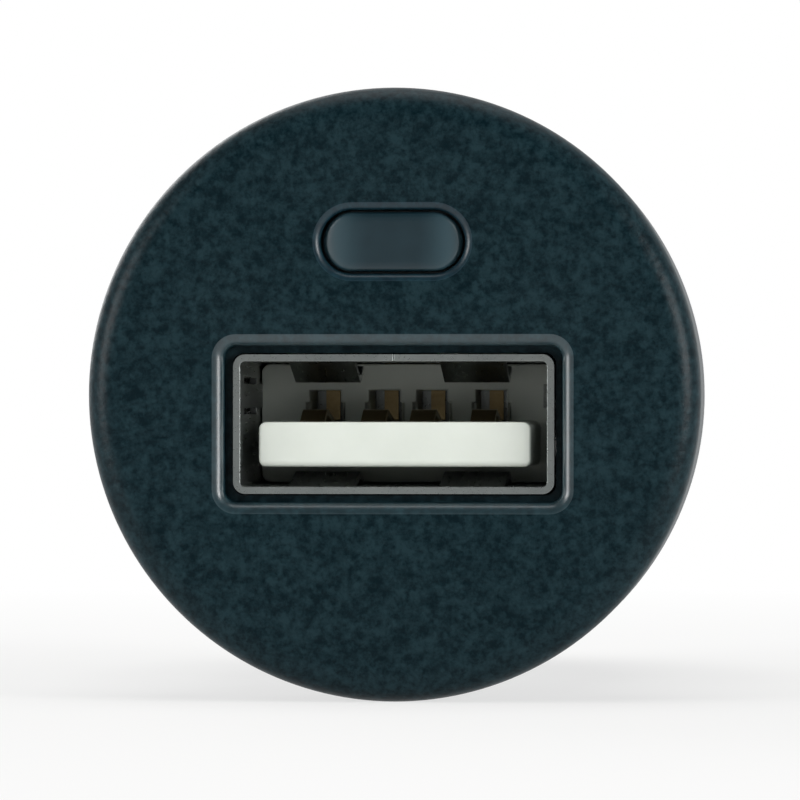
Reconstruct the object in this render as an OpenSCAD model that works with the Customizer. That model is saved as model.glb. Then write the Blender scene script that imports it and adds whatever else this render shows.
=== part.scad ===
// Car USB charger plug: a round-headed plug for a 12 volt vehicle socket, with one
// USB-A receptacle and an indicator window in its face.
// Its axis runs along Y. The face looks towards -Y and the sprung tip towards +Y.
// The origin is on the axis, in the plane of the flange's back, which rests on the
// rim of the socket. Z points up when the receptacle's tongue lies at the bottom.

/* [Head] */
// Diameter of the round head
head_d = 25; // [24.6:0.1:27]
// Length of the head, from its face to the back of the flange
head_len = 8; // [7.6:0.1:10]
// Rounding of the edge of the face
head_round = 1.15; // [0.6:0.05:1.5]
// Thickness of the face
face_t = 1.6; // [1.3:0.1:2]
// Wall of the cap's skirt
skirt_t = 1.8; // [1.4:0.1:2]
// Thickness of the flange behind the cap
flange_t = 1.6; // [1.2:0.1:2.2]
// Chamfer that makes the seam between cap and flange
seam_c = 0.2; // [0.1:0.05:0.35]

/* [Barrel] */
// Diameter of the barrel where it enters the socket
barrel_d = 20.8; // [20.6:0.1:21]
// Length of the barrel from the rim of the socket to its end
barrel_len = 29; // [28.8:0.1:31]
// How much the barrel's radius tapers towards its far end
barrel_taper = 0.5; // [0.2:0.05:0.8]
// Wall of the barrel
barrel_t = 1.1; // [0.9:0.05:1.3]
// Straight stretch of the barrel ahead of the side contacts
lead_len = 7; // [6.6:0.1:7.4]
// Rounding of the barrel's far edge
barrel_round = 0.8; // [0.4:0.1:1]
// Wall that closes the barrel's bore towards the nose
bore_end_t = 1.4; // [1:0.1:2]
// Height of the snap bead that holds the cap
bead_h = 0.25; // [0.15:0.05:0.3]
// Thickness of the rails that hold the board
rail_t = 0.8; // [0.6:0.05:1]

/* [Nose] */
// How much smaller the nose ring's radius is than the barrel's end
nose_step = 0.4; // [0.2:0.05:0.8]
// Wall of the nose ring around the threaded spigot
nose_t = 1.9; // [1.6:0.1:2.2]
// Length of that spigot
spigot_len = 3.2; // [2.8:0.1:3.4]
// Wall of that spigot
spigot_t = 1.2; // [1:0.1:1.3]
// Length of the nose ring
nose_len = 5.4; // [5.2:0.1:6]
// Rounding of the nose ring towards the tip
nose_round = 3.2; // [2.8:0.1:3.4]
// Number of finger grooves around the nose ring
nose_grooves = 20; // [12:1:24]
// Radius of a finger groove
groove_r = 0.45; // [0.3:0.05:0.5]
// Diameter of the tip contact
tip_d = 7.4; // [7:0.1:7.8]
// Wall of the tip contact
tip_t = 0.7; // [0.5:0.05:0.8]
// Rounding of the tip's end
tip_round = 1.6; // [1:0.1:2]
// Gap around the collar that keeps the tip in the nose
tip_collar_gap = 0.4; // [0.2:0.05:0.8]
// Thickness of that collar
tip_collar_t = 1.2; // [0.9:0.1:1.4]
// How far the tip stands out of the nose ring
tip_out = 4.6; // [4:0.1:5.2]
// How far the tip can be pushed in
tip_travel = 2.5; // [2:0.1:2.8]
// Diameter of the tip spring's wire
spring_wire = 0.5; // [0.4:0.05:0.6]
// Turns of the tip spring
spring_turns = 9; // [7:1:10]
// Thickness of the spring's seat
seat_t = 0.5; // [0.4:0.05:0.7]

/* [Side contacts] */
// Width of a side contact's strip
contact_w = 4.4; // [4:0.1:4.8]
// Thickness of the strip
contact_t = 0.4; // [0.3:0.05:0.5]
// How far a side contact stands out of the barrel at rest
contact_out = 1.1; // [0.9:0.05:1.2]
// Radius of the bends at the feet
bow_bend = 4; // [3:0.1:5]
// Length of the front foot, which lies inside the barrel
foot_len = 3.6; // [3.2:0.1:4]
// Length of the rear foot, which slides inside the barrel
toe_len = 1.3; // [1:0.1:1.5]
// Room behind the rear foot
toe_gap = 0.5; // [0.4:0.1:1]

/* [Receptacle] */
// How far the receptacle's centre lies below the axis
port_drop = 1.2; // [1:0.05:1.5]
// How far the receptacle's mouth lies behind the face
port_set = 0.6; // [0.5:0.05:1]
// Gap between the receptacle and the edge of its opening
port_gap = 0.33; // [0.2:0.01:0.4]
// Corner radius of the opening
port_corner = 0.5; // [0.4:0.05:1]
// Rounding of the opening's edge
port_lip = 0.47; // [0.3:0.01:0.55]
// Thickness of the ledge at the back of the opening, which centres the receptacle
port_ledge = 0.5; // [0.3:0.05:0.7]
// Width of the shell
shell_w = 13.1; // [12.9:0.05:13.3]
// Height of the shell
shell_h = 5.7; // [5.6:0.05:5.8]
// Depth of the shell
shell_len = 14; // [13.5:0.1:14.4]
// Thickness of the shell's sheet
sheet_t = 0.3; // [0.25:0.01:0.35]
// Outer corner radius of the shell
shell_corner = 0.5; // [0.45:0.05:0.9]
// Depth of the room for a plug, from the mouth to the insulator's back wall
port_room = 8.9; // [8.7:0.1:9.2]
// Gap on each side of the tongue
tongue_side = 0.7; // [0.6:0.05:0.8]
// Thickness of the tongue
tongue_t = 1.84; // [1.75:0.01:1.9]
// Gap under the tongue
tongue_gap = 0.8; // [0.75:0.01:0.9]
// How far the tongue stays behind the shell's mouth
tongue_set = 0.7; // [0.5:0.05:1]
// Width of a spring finger in the top and bottom of the shell
finger_w = 2.7; // [2.4:0.05:2.9]
// Distance of a spring finger from the shell's middle
finger_x = 3.1; // [2.9:0.05:3.3]
// Length of a spring finger
finger_len = 5.4; // [5:0.1:5.8]
// How far a top finger bends into the room for the plug
finger_top = 0.9; // [0.6:0.01:1]
// How far a bottom finger bends in
finger_low = 0.6; // [0.4:0.01:0.62]
// How far a side finger bends in
finger_side = 0.42; // [0.3:0.01:0.45]
// Width of a contact in the receptacle
pin_w = 1; // [0.9:0.05:1.1]
// Thickness of such a contact
pin_t = 0.25; // [0.2:0.01:0.28]
// Height of a contact's crest above the tongue
pin_rise = 0.5; // [0.3:0.05:0.6]
// Distance from the receptacle's mouth to its soldered legs
shell_leg_set = 4.4; // [4:0.1:5]
// Distance of the inner two contacts from the middle
pin_inner = 1; // [0.95:0.01:1.05]
// Distance of the outer two contacts from the middle
pin_outer = 3.5; // [3.4:0.01:3.6]

/* [Indicator] */
// Distance from the top of the port's opening to the middle of the indicator window
lens_above = 4.22; // [4:0.02:4.4]
// Width of the lens
lens_w = 5.7; // [5:0.1:5.8]
// Height of the lens
lens_h = 2.4; // [2:0.05:2.5]
// Gap around the lens
lens_gap = 0.1; // [0.05:0.01:0.15]
// Rounding of the window's edge
lens_lip = 0.3; // [0.2:0.01:0.35]
// Rounding of the lens' own edge
lens_round = 0.3; // [0.2:0.05:0.8]
// How far the lens lies behind the face
lens_set = 0.12; // [0.05:0.01:0.2]
// Diameter of the light-emitting diode
led_d = 3; // [2.8:0.05:3.1]
// Length of its clear body
led_len = 3.9; // [3.6:0.05:4]
// How far it stands off the board
led_lift = 0.6; // [0.4:0.1:1]

/* [Board] */
// Thickness of the circuit board
board_t = 1.2; // [1:0.05:1.3]
// Width of the board's tail, between the side contacts
tail_w = 12; // [11.6:0.1:12.4]
// Diameter of the two electrolytic capacitors
can_d = 6.3; // [6:0.05:6.35]
// Length of the input capacitor
can_in_len = 11; // [9:0.1:13]
// Length of the output capacitor
can_out_len = 7.7; // [7:0.1:9]
// Distance from the receptacle to the capacitors
can_set = 2.6; // [2.2:0.1:4]
// Diameter of the inductor's drum
drum_d = 7.8; // [7.2:0.1:8]
// Gap between the inductor's drum and the barrel
drum_gap = 1.17; // [1:0.01:1.6]
// Diameter of the inductor's wire
coil_wire = 0.5; // [0.4:0.01:0.6]

/* [Hidden] */
$fn = 48;
// Clearances: a push fit, a running fit, and how far a cut runs past its wall
fit = 0.05;
run = 0.15;
past = 0.5;

// Head
head_r = head_d / 2;
skirt_r = head_r - skirt_t;
collar_r = skirt_r - fit;
y_face = -head_len;
y_back = y_face + face_t;
y_seam = -flange_t;
y_bead = (y_back + y_seam) / 2;

// Receptacle
port_z = -port_drop;
y_mouth = y_face + port_set;
y_shell_end = y_mouth + shell_len;
shell_in_w = shell_w - 2 * sheet_t;
shell_in_h = shell_h - 2 * sheet_t;
open_w = shell_w + 2 * port_gap;
open_h = shell_h + 2 * port_gap;
shell_top = port_z + shell_h / 2;
y_ledge = y_back - port_ledge;
y_block = y_mouth + port_room;
y_tongue = y_mouth + tongue_set;
tongue_w = shell_in_w - 2 * tongue_side;
tongue_z = port_z - shell_in_h / 2 + tongue_gap + tongue_t / 2;
tongue_top = tongue_z + tongue_t / 2;
tongue_corner = 0.3;
pin_x = [-pin_outer, -pin_inner, pin_inner, pin_outer];
pin_back = 0.55;
y_pin_leg = y_shell_end - sheet_t - pin_back;
y_block_end = y_pin_leg - pin_t / 2 - run;
pin_leg_w = 0.6;
pin_slot_d = pin_t + fit;
pin_z = tongue_top - pin_t / 2;
pin_room_w = pin_w + 0.6;
pin_room_h = 1.3;
leg_end = 0.5;
finger_y = 1.6;
finger_gap = 0.25;
side_finger_z = port_z + 1.15;
side_finger_w = 1;
y_shell_leg = y_mouth + shell_leg_set;
shell_leg_w = 1.6;
seam_gap = 0.04;

// Barrel's bore, the feet of the side contacts in it, and the board above the receptacle
barrel_r = barrel_d / 2;
bore_r = barrel_r - barrel_t;
head_room_r = min(bore_r, collar_r);
foot_x = sqrt(bore_r * bore_r - contact_w * contact_w / 4) - fit - contact_t / 2;
y_bow_start = lead_len + 0.4;
y_foot = y_bow_start - foot_len;
board_z = shell_top + fit;
board_top = board_z + board_t;
board_w = 2 * min(foot_x - contact_t / 2 - run, sqrt(head_room_r * head_room_r - board_top * board_top) - run);
board_corner = 0.6;
y_board = y_back + 0.4;
y_tail = y_foot - 0.3;
rail_x = shell_w / 2 + 0.7;
lead = 0.45;
lead_pitch = 2.54;
lead_hole = lead + 0.3;

// Indicator, with its diode lying on the board
lens_rise = port_z + open_h / 2 + lens_above;
lens_flange = 0.55;
lens_flange_t = 0.8;
led_r = led_d / 2;
led_rim = 0.4;
led_rim_t = 0.9;
led_z = board_top + led_lift + led_r + led_rim;
y_led = y_back + 1;
y_led_end = y_led + led_len;
y_led_lead = y_led_end + 0.4;

// Row of chip parts between the diode and the receptacle's pins
part_gap = 0.5;
chip_part_long = 2;
chip_part_wide = 1.25;
resistor_h = 0.5;
ceramic_h = 1;
fuse_size = [3.2, 1.6, 0.9];
y_row = (y_led_lead + y_pin_leg) / 2;
row_x = [fuse_size[0] / 2 + part_gap + chip_part_wide / 2, fuse_size[0] / 2 + 2 * part_gap + 1.5 * chip_part_wide];
resistor_at = [[-row_x[1], y_row], [-row_x[0], y_row], [row_x[0], y_led + led_len / 2]];
ceramic_at = [[row_x[0], y_row], [row_x[1], y_row]];

// Converter chip with the diode beside it, and the inductor behind them
chip_w = 3.9;
chip_len = 4.9;
chip_h = 1.45;
chip_pitch = 1.27;
chip_span = 6;
diode_size = [2.6, 4.3, 2.1];
chip_x = -(diode_size[0] + part_gap) / 2;
diode_x = chip_x + (chip_span + diode_size[0]) / 2 + part_gap;
y_chip = y_shell_end + part_gap + chip_len / 2;
drum_r = drum_d / 2;
drum_rim = 0.8;
drum_h = sqrt(bore_r * bore_r - drum_r * drum_r) - board_top - drum_gap;
coil_turns = floor((drum_h - 2 * drum_rim) / coil_wire);
y_drum = y_chip + chip_len / 2 + part_gap + drum_r;

// Capacitors that lie under the board
can_r = can_d / 2;
can_gap = 0.2;
can_x = can_r + can_gap / 2;
can_z = board_z - can_gap / 2 - can_r;
y_can = y_shell_end + can_set;
y_can_lead = y_can - 1;

// End of the board, from what lies on it, and of the barrel's bore
prong_w = 2.4;
prong_len = 2;
prong_gap = 0.3;
y_board_end = max(y_can + max(can_in_len, can_out_len), y_drum + drum_r) + prong_gap + prong_len;
y_bore_end = barrel_len - bore_end_t;

// Side contacts: two flat feet, two bends and a crown that run into each other
crown_x = barrel_r + contact_out - contact_t / 2;
bow_len = y_bore_end - toe_gap - toe_len - y_bow_start;
bow_a = 2 * atan((crown_x - foot_x) / (bow_len / 2));
crown_bend = (bow_len / 2) / sin(bow_a) - bow_bend;
y_bow = y_bow_start + bow_len / 2;
slot_gap = 0.3;
slot_end_gap = 0.2;
slot_corner = 0.6;

// Nose, tip and spring
barrel_end_r = barrel_r - barrel_taper;
nose_r = barrel_end_r - nose_step;
spigot_r = nose_r - nose_t;
spigot_in = spigot_r - spigot_t;
y_spigot_end = barrel_len + spigot_len;
y_nose_wall = y_spigot_end + fit;
y_nose_end = barrel_len + nose_len;
nose_band = nose_len - nose_round;
tip_r = tip_d / 2;
tip_in = tip_r - tip_t;
tip_end_t = 1;
tip_collar_r = spigot_in - tip_collar_gap;
y_tip_end = y_nose_end + tip_out;
y_tip_collar = y_nose_wall - fit - tip_collar_t;
y_tip_in = y_tip_end - tip_end_t;
spring_r = tip_in - run - spring_wire / 2;
seat_r = spring_r + spring_wire;
boss_r = spring_r - spring_wire / 2 - run;
boss_h = 0.9;

// Finishes
shell_black = [0.10, 0.17, 0.19];
nickel = [0.78, 0.77, 0.74];
spring_steel = [0.70, 0.71, 0.72];
sheet_steel = [0.62, 0.65, 0.66];
white_pbt = [0.87, 0.90, 0.86];
gold = [0.83, 0.68, 0.35];
fr4_green = [0.10, 0.36, 0.20];
tinned = [0.75, 0.76, 0.77];

// Turns a profile of radius and height about the plug's axis
module lathe() {
  rotate([-90, 0, 0]) rotate_extrude() children();
}

// Extrudes an outline, seen from the face, from y0 to y1
module along_y(y0, y1) {
  translate([0, y1, 0]) rotate([90, 0, 0]) linear_extrude(y1 - y0) children();
}

// Extrudes a side view of y and z to a width w, centred on x
module across_x(x, w) {
  translate([x - w / 2, 0, 0]) rotate([90, 0, 90]) linear_extrude(w) children();
}

// Extrudes a plan of x and y upwards from z
module up_z(z, h) {
  translate([0, 0, z]) linear_extrude(h) children();
}

// Rectangle with true round corners
module rounded(w, h, r) {
  square([w, h - 2 * r], center = true);
  square([w - 2 * r, h], center = true);
  for (sx = [-1, 1], sy = [-1, 1]) translate([sx * (w / 2 - r), sy * (h / 2 - r)]) circle(r);
}

// Slot with two round ends
module obround(w, h) {
  square([w - h, h], center = true);
  for (s = [-1, 1]) translate([s * (w - h) / 2, 0]) circle(h / 2);
}

// Strip of sheet or wire that is bent at each of its points
module bent(points, t) {
  for (i = [0:len(points) - 2]) {
    run_v = points[i + 1] - points[i];
    translate(points[i]) rotate(atan2(run_v[1], run_v[0])) translate([0, -t / 2]) square([norm(run_v), t]);
  }
  for (p = points) translate(p) circle(t / 2);
}

// What a rounding of radius f takes away beside an edge, with the edge at x = 0
module lip_section(f) {
  difference() {
    translate([-f / 2, -f / 2]) square(1.5 * f);
    translate([f, f]) circle(f);
  }
}

// Rounds the edge of an opening w by h with corners r, sunk from the plane z = 0
module lip_cut(w, h, r, f) {
  run_x = w - 2 * r;
  run_y = h - 2 * r;
  for (s = [0, 1]) mirror([0, s, 0]) translate([-run_x / 2, h / 2, 0])
    rotate([90, 0, 90]) linear_extrude(run_x) lip_section(f);
  if (run_y > 0.01) for (s = [0, 1]) mirror([s, 0, 0]) translate([w / 2, run_y / 2, 0])
    rotate([90, 0, 0]) linear_extrude(run_y) lip_section(f);
  for (sx = [0, 1], sy = [0, 1]) mirror([sx, 0, 0]) mirror([0, sy, 0])
    translate([w / 2 - r, h / 2 - r, 0]) rotate_extrude(angle = 90) translate([r, 0]) lip_section(f);
}

// Section of the cap: a cup with a rounded front edge and a groove for the snap bead
module cap_section() {
  difference() {
    union() {
      translate([0, y_face]) square([head_r - head_round, y_seam - y_face]);
      translate([0, y_face + head_round]) square([head_r, y_seam - y_face - head_round]);
      translate([head_r - head_round, y_face + head_round]) circle(head_round);
    }
    translate([0, y_back]) square([skirt_r, y_seam - y_back + past]);
    translate([skirt_r, y_bead]) circle(bead_h + fit);
    translate([head_r, y_seam]) rotate(45) square(seam_c * sqrt(2), center = true);
  }
}

module face_cap() {
  color(shell_black)
  difference() {
    lathe() cap_section();
    along_y(y_face - past, y_ledge) translate([0, port_z]) rounded(open_w, open_h, port_corner);
    along_y(y_face - past, y_back + past) translate([0, port_z])
      rounded(shell_w + 2 * fit, shell_h + 2 * fit, shell_corner + fit);
    translate([0, y_face, port_z]) rotate([-90, 0, 0]) lip_cut(open_w, open_h, port_corner, port_lip);
    along_y(y_face - past, y_back + past)
      translate([0, lens_rise]) obround(lens_w + 2 * lens_gap, lens_h + 2 * lens_gap);
    translate([0, y_face, lens_rise]) rotate([-90, 0, 0])
      lip_cut(lens_w + 2 * lens_gap, lens_h + 2 * lens_gap, lens_h / 2 + lens_gap, lens_lip);
  }
}

// Front of the lens: a bar with a rounded edge, whose ends are half turned
module lens_section(w) {
  intersection() {
    union() {
      translate([0, lens_round]) square([w, face_t - lens_set - lens_round]);
      square([w - lens_round, lens_round]);
      translate([w - lens_round, lens_round]) circle(lens_round);
    }
    square([w, face_t - lens_set]);
  }
}

module indicator_lens() {
  half = (lens_w - lens_h) / 2;
  color([0.18, 0.24, 0.26])
  union() {
    translate([0, y_face + lens_set, lens_rise]) rotate([-90, 0, 0]) {
      for (s = [-1, 1]) translate([s * half, 0, 0]) rotate_extrude() lens_section(lens_h / 2);
      for (s = [0, 1]) mirror([0, s, 0]) translate([-half, 0, 0])
        rotate([90, 0, 90]) linear_extrude(2 * half) lens_section(lens_h / 2);
    }
    along_y(y_back, y_back + lens_flange_t) intersection() {
      translate([0, lens_rise]) obround(lens_w + 2 * lens_flange, lens_h + 2 * lens_flange);
      circle(head_room_r - run);
    }
  }
}

// Outside of the barrel, from the collar inside the cap to the threaded spigot
module barrel_outside() {
  end_r = barrel_end_r;
  polygon([
    [0, y_back], [collar_r, y_back], [collar_r, y_seam],
    [head_r - seam_c, y_seam], [head_r, y_seam + seam_c], [head_r, -seam_c], [head_r - seam_c, 0],
    [barrel_r, 0], [barrel_r, lead_len], [end_r, barrel_len - barrel_round],
    [end_r - barrel_round, barrel_len - barrel_round], [end_r - barrel_round, barrel_len],
    [spigot_r, barrel_len], [spigot_r, y_spigot_end], [0, y_spigot_end]
  ]);
  translate([end_r - barrel_round, barrel_len - barrel_round]) circle(barrel_round);
  translate([collar_r, y_bead]) circle(bead_h);
}

module barrel_inside() {
  translate([0, y_back - past]) square([bore_r, y_bore_end - y_back + past]);
  translate([0, y_bore_end - past]) square([spigot_in, y_spigot_end - y_bore_end + 2 * past]);
}

// One of the four ribs inside the barrel that hold the edges of the board
module board_rail(side, z) {
  reach = bore_r + barrel_t / 3;
  x0 = side > 0 ? rail_x : -reach;
  translate([x0, y_board + 0.4, z]) cube([reach - rail_x, y_tail - y_board - 0.8, rail_t]);
}

module barrel() {
  slot_len = bow_len - 2 * slot_end_gap;
  color(shell_black)
  difference() {
    union() {
      difference() {
        lathe() barrel_outside();
        lathe() barrel_inside();
      }
      intersection() {
        lathe() barrel_outside();
        for (side = [-1, 1]) {
          board_rail(side, board_z - fit - rail_t);
          board_rail(side, board_top + fit);
        }
      }
    }
    for (side = [-1, 1]) across_x(side * (bore_r + barrel_t / 2), 3 * barrel_t)
      translate([y_bow, 0]) rounded(slot_len, contact_w + 2 * slot_gap, slot_corner);
  }
}

// Section of the nose ring: a straight band that rounds over towards the tip
module nose_section() {
  round_r = nose_r - nose_round;
  difference() {
    union() {
      translate([0, barrel_len]) square([nose_r, nose_band]);
      translate([0, barrel_len]) square([round_r, nose_len]);
      intersection() {
        translate([round_r, y_nose_end - nose_round]) circle(nose_round);
        translate([0, y_nose_end - nose_round]) square([nose_r, nose_round]);
      }
    }
    translate([0, barrel_len - past]) square([spigot_r + fit, y_nose_wall - barrel_len + past]);
    translate([0, barrel_len]) square([tip_r + run, nose_len + past]);
  }
}

module nose_ring() {
  color(shell_black)
  difference() {
    lathe() nose_section();
    for (i = [0:nose_grooves - 1]) rotate([0, i * 360 / nose_grooves, 0])
      translate([nose_r + groove_r / 3, barrel_len - past, 0]) rotate([-90, 0, 0]) cylinder(h = nose_band + past, r = groove_r);
  }
}

module tip_contact() {
  color(nickel)
  lathe() difference() {
    union() {
      translate([0, y_tip_collar]) square([tip_collar_r, tip_collar_t]);
      translate([0, y_tip_collar]) square([tip_r, y_tip_end - tip_round - y_tip_collar]);
      translate([0, y_tip_end - tip_round - past]) square([tip_r - tip_round, tip_round + past]);
      translate([tip_r - tip_round, y_tip_end - tip_round]) circle(tip_round);
    }
    translate([0, y_tip_collar - past]) square([tip_in, y_tip_in - y_tip_collar + past]);
  }
}

// Place of the spring's wire after k turns: the first and last turns lie close
function spring_y(k, y0, len) =
  let (w = spring_wire, n = spring_turns, close = 1.05 * w)
  y0 + w / 2 + (k < 1 ? k * close
    : k > n - 1 ? len - w - (n - k) * close
    : close + (k - 1) * (len - w - 2 * close) / (n - 2));

module tip_spring() {
  sides = 8;
  steps = 20 * spring_turns;
  y0 = y_board_end + seat_t;
  ring = [for (i = [0:steps], j = [0:sides - 1])
    let (a = 360 * i / 20, b = 360 * j / sides, r = spring_r + cos(b) * spring_wire / 2)
    [r * cos(a), spring_y(i / 20, y0, y_tip_in - y0) + sin(b) * spring_wire / 2, r * sin(a)]];
  walls = [for (i = [0:steps - 1], j = [0:sides - 1])
    let (p = i * sides + j, q = i * sides + (j + 1) % sides) [p, q, q + sides, p + sides]];
  ends = [[for (j = [sides - 1:-1:0]) j], [for (j = [0:sides - 1]) steps * sides + j]];
  color(spring_steel) polyhedron(points = ring, faces = concat(ends, walls), convexity = 10);
}

// Stamped cup at the end of the board, with a boss for the spring and two soldered prongs
module spring_seat() {
  color(nickel)
  union() {
    lathe() difference() {
      union() {
        translate([0, y_board_end]) square([seat_r, seat_t]);
        translate([0, y_board_end]) square([boss_r, seat_t + boss_h]);
      }
      translate([0, y_board_end - past]) square([boss_r - seat_t, past + boss_h]);
    }
    for (z = [board_z - seat_t, board_top]) translate([-prong_w / 2, y_board_end - prong_len, z])
      cube([prong_w, prong_len + seat_t, seat_t]);
    translate([-prong_w / 2, y_board_end, board_z - seat_t]) cube([prong_w, seat_t, board_t + 2 * seat_t]);
  }
}

// Band of a ring between two angles
module arc_band(r, t, a0, a1) {
  big = 2 * r + t;
  mid = (a0 + a1) / 2;
  intersection() {
    difference() {
      circle(r + t / 2);
      circle(r - t / 2);
    }
    polygon([[0, 0], for (a = [a0, mid, a1]) big * [cos(a), sin(a)]]);
  }
}

module side_contact_right() {
  half = bow_len / 2;
  lap = 0.3;
  color(spring_steel)
  up_z(-contact_w / 2, contact_w) {
    translate([foot_x - contact_t / 2, y_foot]) square([contact_t, foot_len]);
    translate([foot_x + bow_bend, y_bow - half]) arc_band(bow_bend, contact_t, 180 - bow_a, 180 + lap);
    translate([crown_x - crown_bend, y_bow]) arc_band(crown_bend, contact_t, -bow_a - lap, bow_a + lap);
    translate([foot_x + bow_bend, y_bow + half]) arc_band(bow_bend, contact_t, 180 - lap, 180 + bow_a);
    translate([foot_x - contact_t / 2, y_bow + half]) square([contact_t, toe_len]);
  }
}

module side_contact_left() {
  mirror([1, 0, 0]) side_contact_right();
}

// Side view of a spring finger: rooted in the wall at y = 0, bent in and back out again
module finger_view(reach, t) {
  bent([[-0.3, 0], [0, 0], [finger_len * 0.72, reach], [finger_len, reach * 0.5]], t);
}

module usb_shell() {
  mid = (shell_in_h + sheet_t) / 2;
  side = (shell_in_w + sheet_t) / 2;
  root = y_mouth + finger_y;
  gap = finger_gap;
  color(sheet_steel)
  union() {
    difference() {
      along_y(y_mouth, y_shell_end) translate([0, port_z]) difference() {
        rounded(shell_w, shell_h, shell_corner);
        rounded(shell_in_w, shell_in_h, shell_corner - sheet_t);
      }
      for (x = [-finger_x, finger_x], s = [-1, 1]) across_x(x, finger_w + 2 * gap)
        translate([root + finger_len / 2 + gap, port_z + s * mid]) square([finger_len + gap, 2 * sheet_t], center = true);
      for (s = [-1, 1]) up_z(side_finger_z - side_finger_w / 2 - gap, side_finger_w + 2 * gap)
        translate([s * side, root + finger_len / 2 + gap]) square([2 * sheet_t, finger_len + gap], center = true);
      translate([-pin_outer - pin_w, y_block_end, shell_top - 2 * sheet_t])
        cube([2 * (pin_outer + pin_w), shell_len, 3 * sheet_t]);
      translate([-seam_gap / 2, y_mouth - past, shell_top - 2 * sheet_t]) cube([seam_gap, shell_len, 3 * sheet_t]);
    }
    for (x = [-finger_x, finger_x]) across_x(x, finger_w) {
      translate([root, port_z + mid]) mirror([0, 1]) finger_view(finger_top, sheet_t);
      translate([root, port_z - mid]) finger_view(finger_low, sheet_t);
    }
    for (s = [0, 1]) mirror([s, 0, 0]) up_z(side_finger_z - side_finger_w / 2, side_finger_w)
      translate([side, root]) rotate(90) finger_view(finger_side, sheet_t);
    along_y(y_shell_end - sheet_t, y_shell_end) translate([0, port_z]) intersection() {
      rounded(shell_w, shell_h, shell_corner);
      translate([-shell_w / 2, -shell_h / 2]) square([shell_w, shell_h - 1]);
    }
    for (s = [-1, 1]) translate([s * side - sheet_t / 2, y_shell_leg - shell_leg_w / 2, shell_top - shell_corner - sheet_t])
      cube([sheet_t, shell_leg_w, shell_corner + sheet_t + fit + board_t + leg_end]);
  }
}

module usb_insulator() {
  floor_z = tongue_top - pin_slot_d;
  slot_w = pin_w + 2 * run;
  color(white_pbt)
  difference() {
    union() {
      along_y(y_block, y_block_end)
        translate([0, port_z]) rounded(shell_in_w - 2 * fit, shell_in_h - 2 * fit, shell_corner - sheet_t);
      along_y(y_tongue, y_block + past) translate([0, tongue_z]) rounded(tongue_w, tongue_t, tongue_corner);
    }
    for (x = pin_x) {
      translate([x - slot_w / 2, y_tongue + 0.5, floor_z]) cube([slot_w, shell_len, pin_slot_d + pin_room_h]);
      translate([x - pin_room_w / 2, y_block - past, tongue_top]) cube([pin_room_w, 1 + past, pin_room_h * 0.6]);
    }
  }
}

// One formed contact: sprung over the tongue, through the insulator and up into the board
module usb_contact(i) {
  x = pin_x[i - 1];
  crest = tongue_top + pin_rise - pin_t / 2;
  color(gold)
  union() {
    across_x(x, pin_w) bent([
      [y_tongue + 0.9, pin_z], [y_tongue + 1.6, pin_z], [y_tongue + 3, crest], [y_tongue + 3.6, crest],
      [y_block - 0.8, pin_z], [y_pin_leg, pin_z]
    ], pin_t);
    across_x(x, pin_leg_w) bent([[y_pin_leg, pin_z], [y_pin_leg, board_top + leg_end]], pin_t);
  }
}

module hole(x, y, d) {
  translate([x, y]) circle(d / 2);
}

module circuit_board() {
  color(fr4_green)
  up_z(board_z, board_t) difference() {
    union() {
      translate([0, (y_board + y_tail) / 2]) rounded(board_w, y_tail - y_board, board_corner);
      translate([-tail_w / 2, y_tail - 2]) square([tail_w, y_board_end - y_tail + 2]);
    }
    for (x = pin_x) hole(x, y_pin_leg, pin_leg_w + 0.3);
    for (s = [-1, 1]) translate([s * (shell_w - sheet_t) / 2, y_shell_leg]) rotate(90) obround(shell_leg_w + 0.6, sheet_t + 0.3);
    for (s = [-1, 1]) hole(s * lead_pitch / 2, y_led_lead, lead_hole);
    for (x = [-can_x, can_x], s = [-1, 1]) hole(x + s * lead_pitch / 2, y_can_lead, lead_hole);
  }
}

module indicator_led() {
  color([0.86, 0.92, 0.95])
  union() {
    translate([0, 0, led_z]) lathe() {
      translate([0, y_led + led_r]) square([led_r, led_len - led_r]);
      translate([0, y_led_end - led_rim_t]) square([led_r + led_rim, led_rim_t]);
      intersection() {
        translate([0, y_led + led_r]) circle(led_r);
        translate([0, y_led]) square([led_r, led_r]);
      }
    }
    for (s = [-1, 1]) across_x(s * lead_pitch / 2, lead)
      bent([[y_led_end - led_rim_t / 2, led_z], [y_led_lead, led_z], [y_led_lead, board_z + lead / 2]], lead);
  }
}

// Gull-wing lead of the chip, seen along the plug's axis
module chip_lead() {
  along_y(-0.2, 0.2) bent([
    [chip_w / 2 - 0.2, chip_h / 2], [chip_w / 2 + 0.3, chip_h / 2], [chip_w / 2 + 0.5, 0.1], [chip_span / 2, 0.1]
  ], 0.2);
}

module converter_chip() {
  slope = 0.12;
  h0 = 0.15;
  color([0.10, 0.10, 0.11])
  translate([chip_x, y_chip, board_top]) {
    along_y(-chip_len / 2, chip_len / 2) polygon([
      [-chip_w / 2 + slope, h0], [chip_w / 2 - slope, h0], [chip_w / 2, chip_h / 2],
      [chip_w / 2 - slope, chip_h], [-chip_w / 2 + slope, chip_h], [-chip_w / 2, chip_h / 2]
    ]);
    for (s = [0, 1], i = [0:3]) mirror([s, 0, 0]) translate([0, (i - 1.5) * chip_pitch, 0]) chip_lead();
  }
}

module inductor_core() {
  color([0.22, 0.22, 0.24])
  translate([0, y_drum, board_top]) rotate_extrude() difference() {
    square([drum_r, drum_h]);
    translate([drum_r / 2, drum_rim]) square([drum_r, drum_h - 2 * drum_rim]);
  }
}

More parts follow.
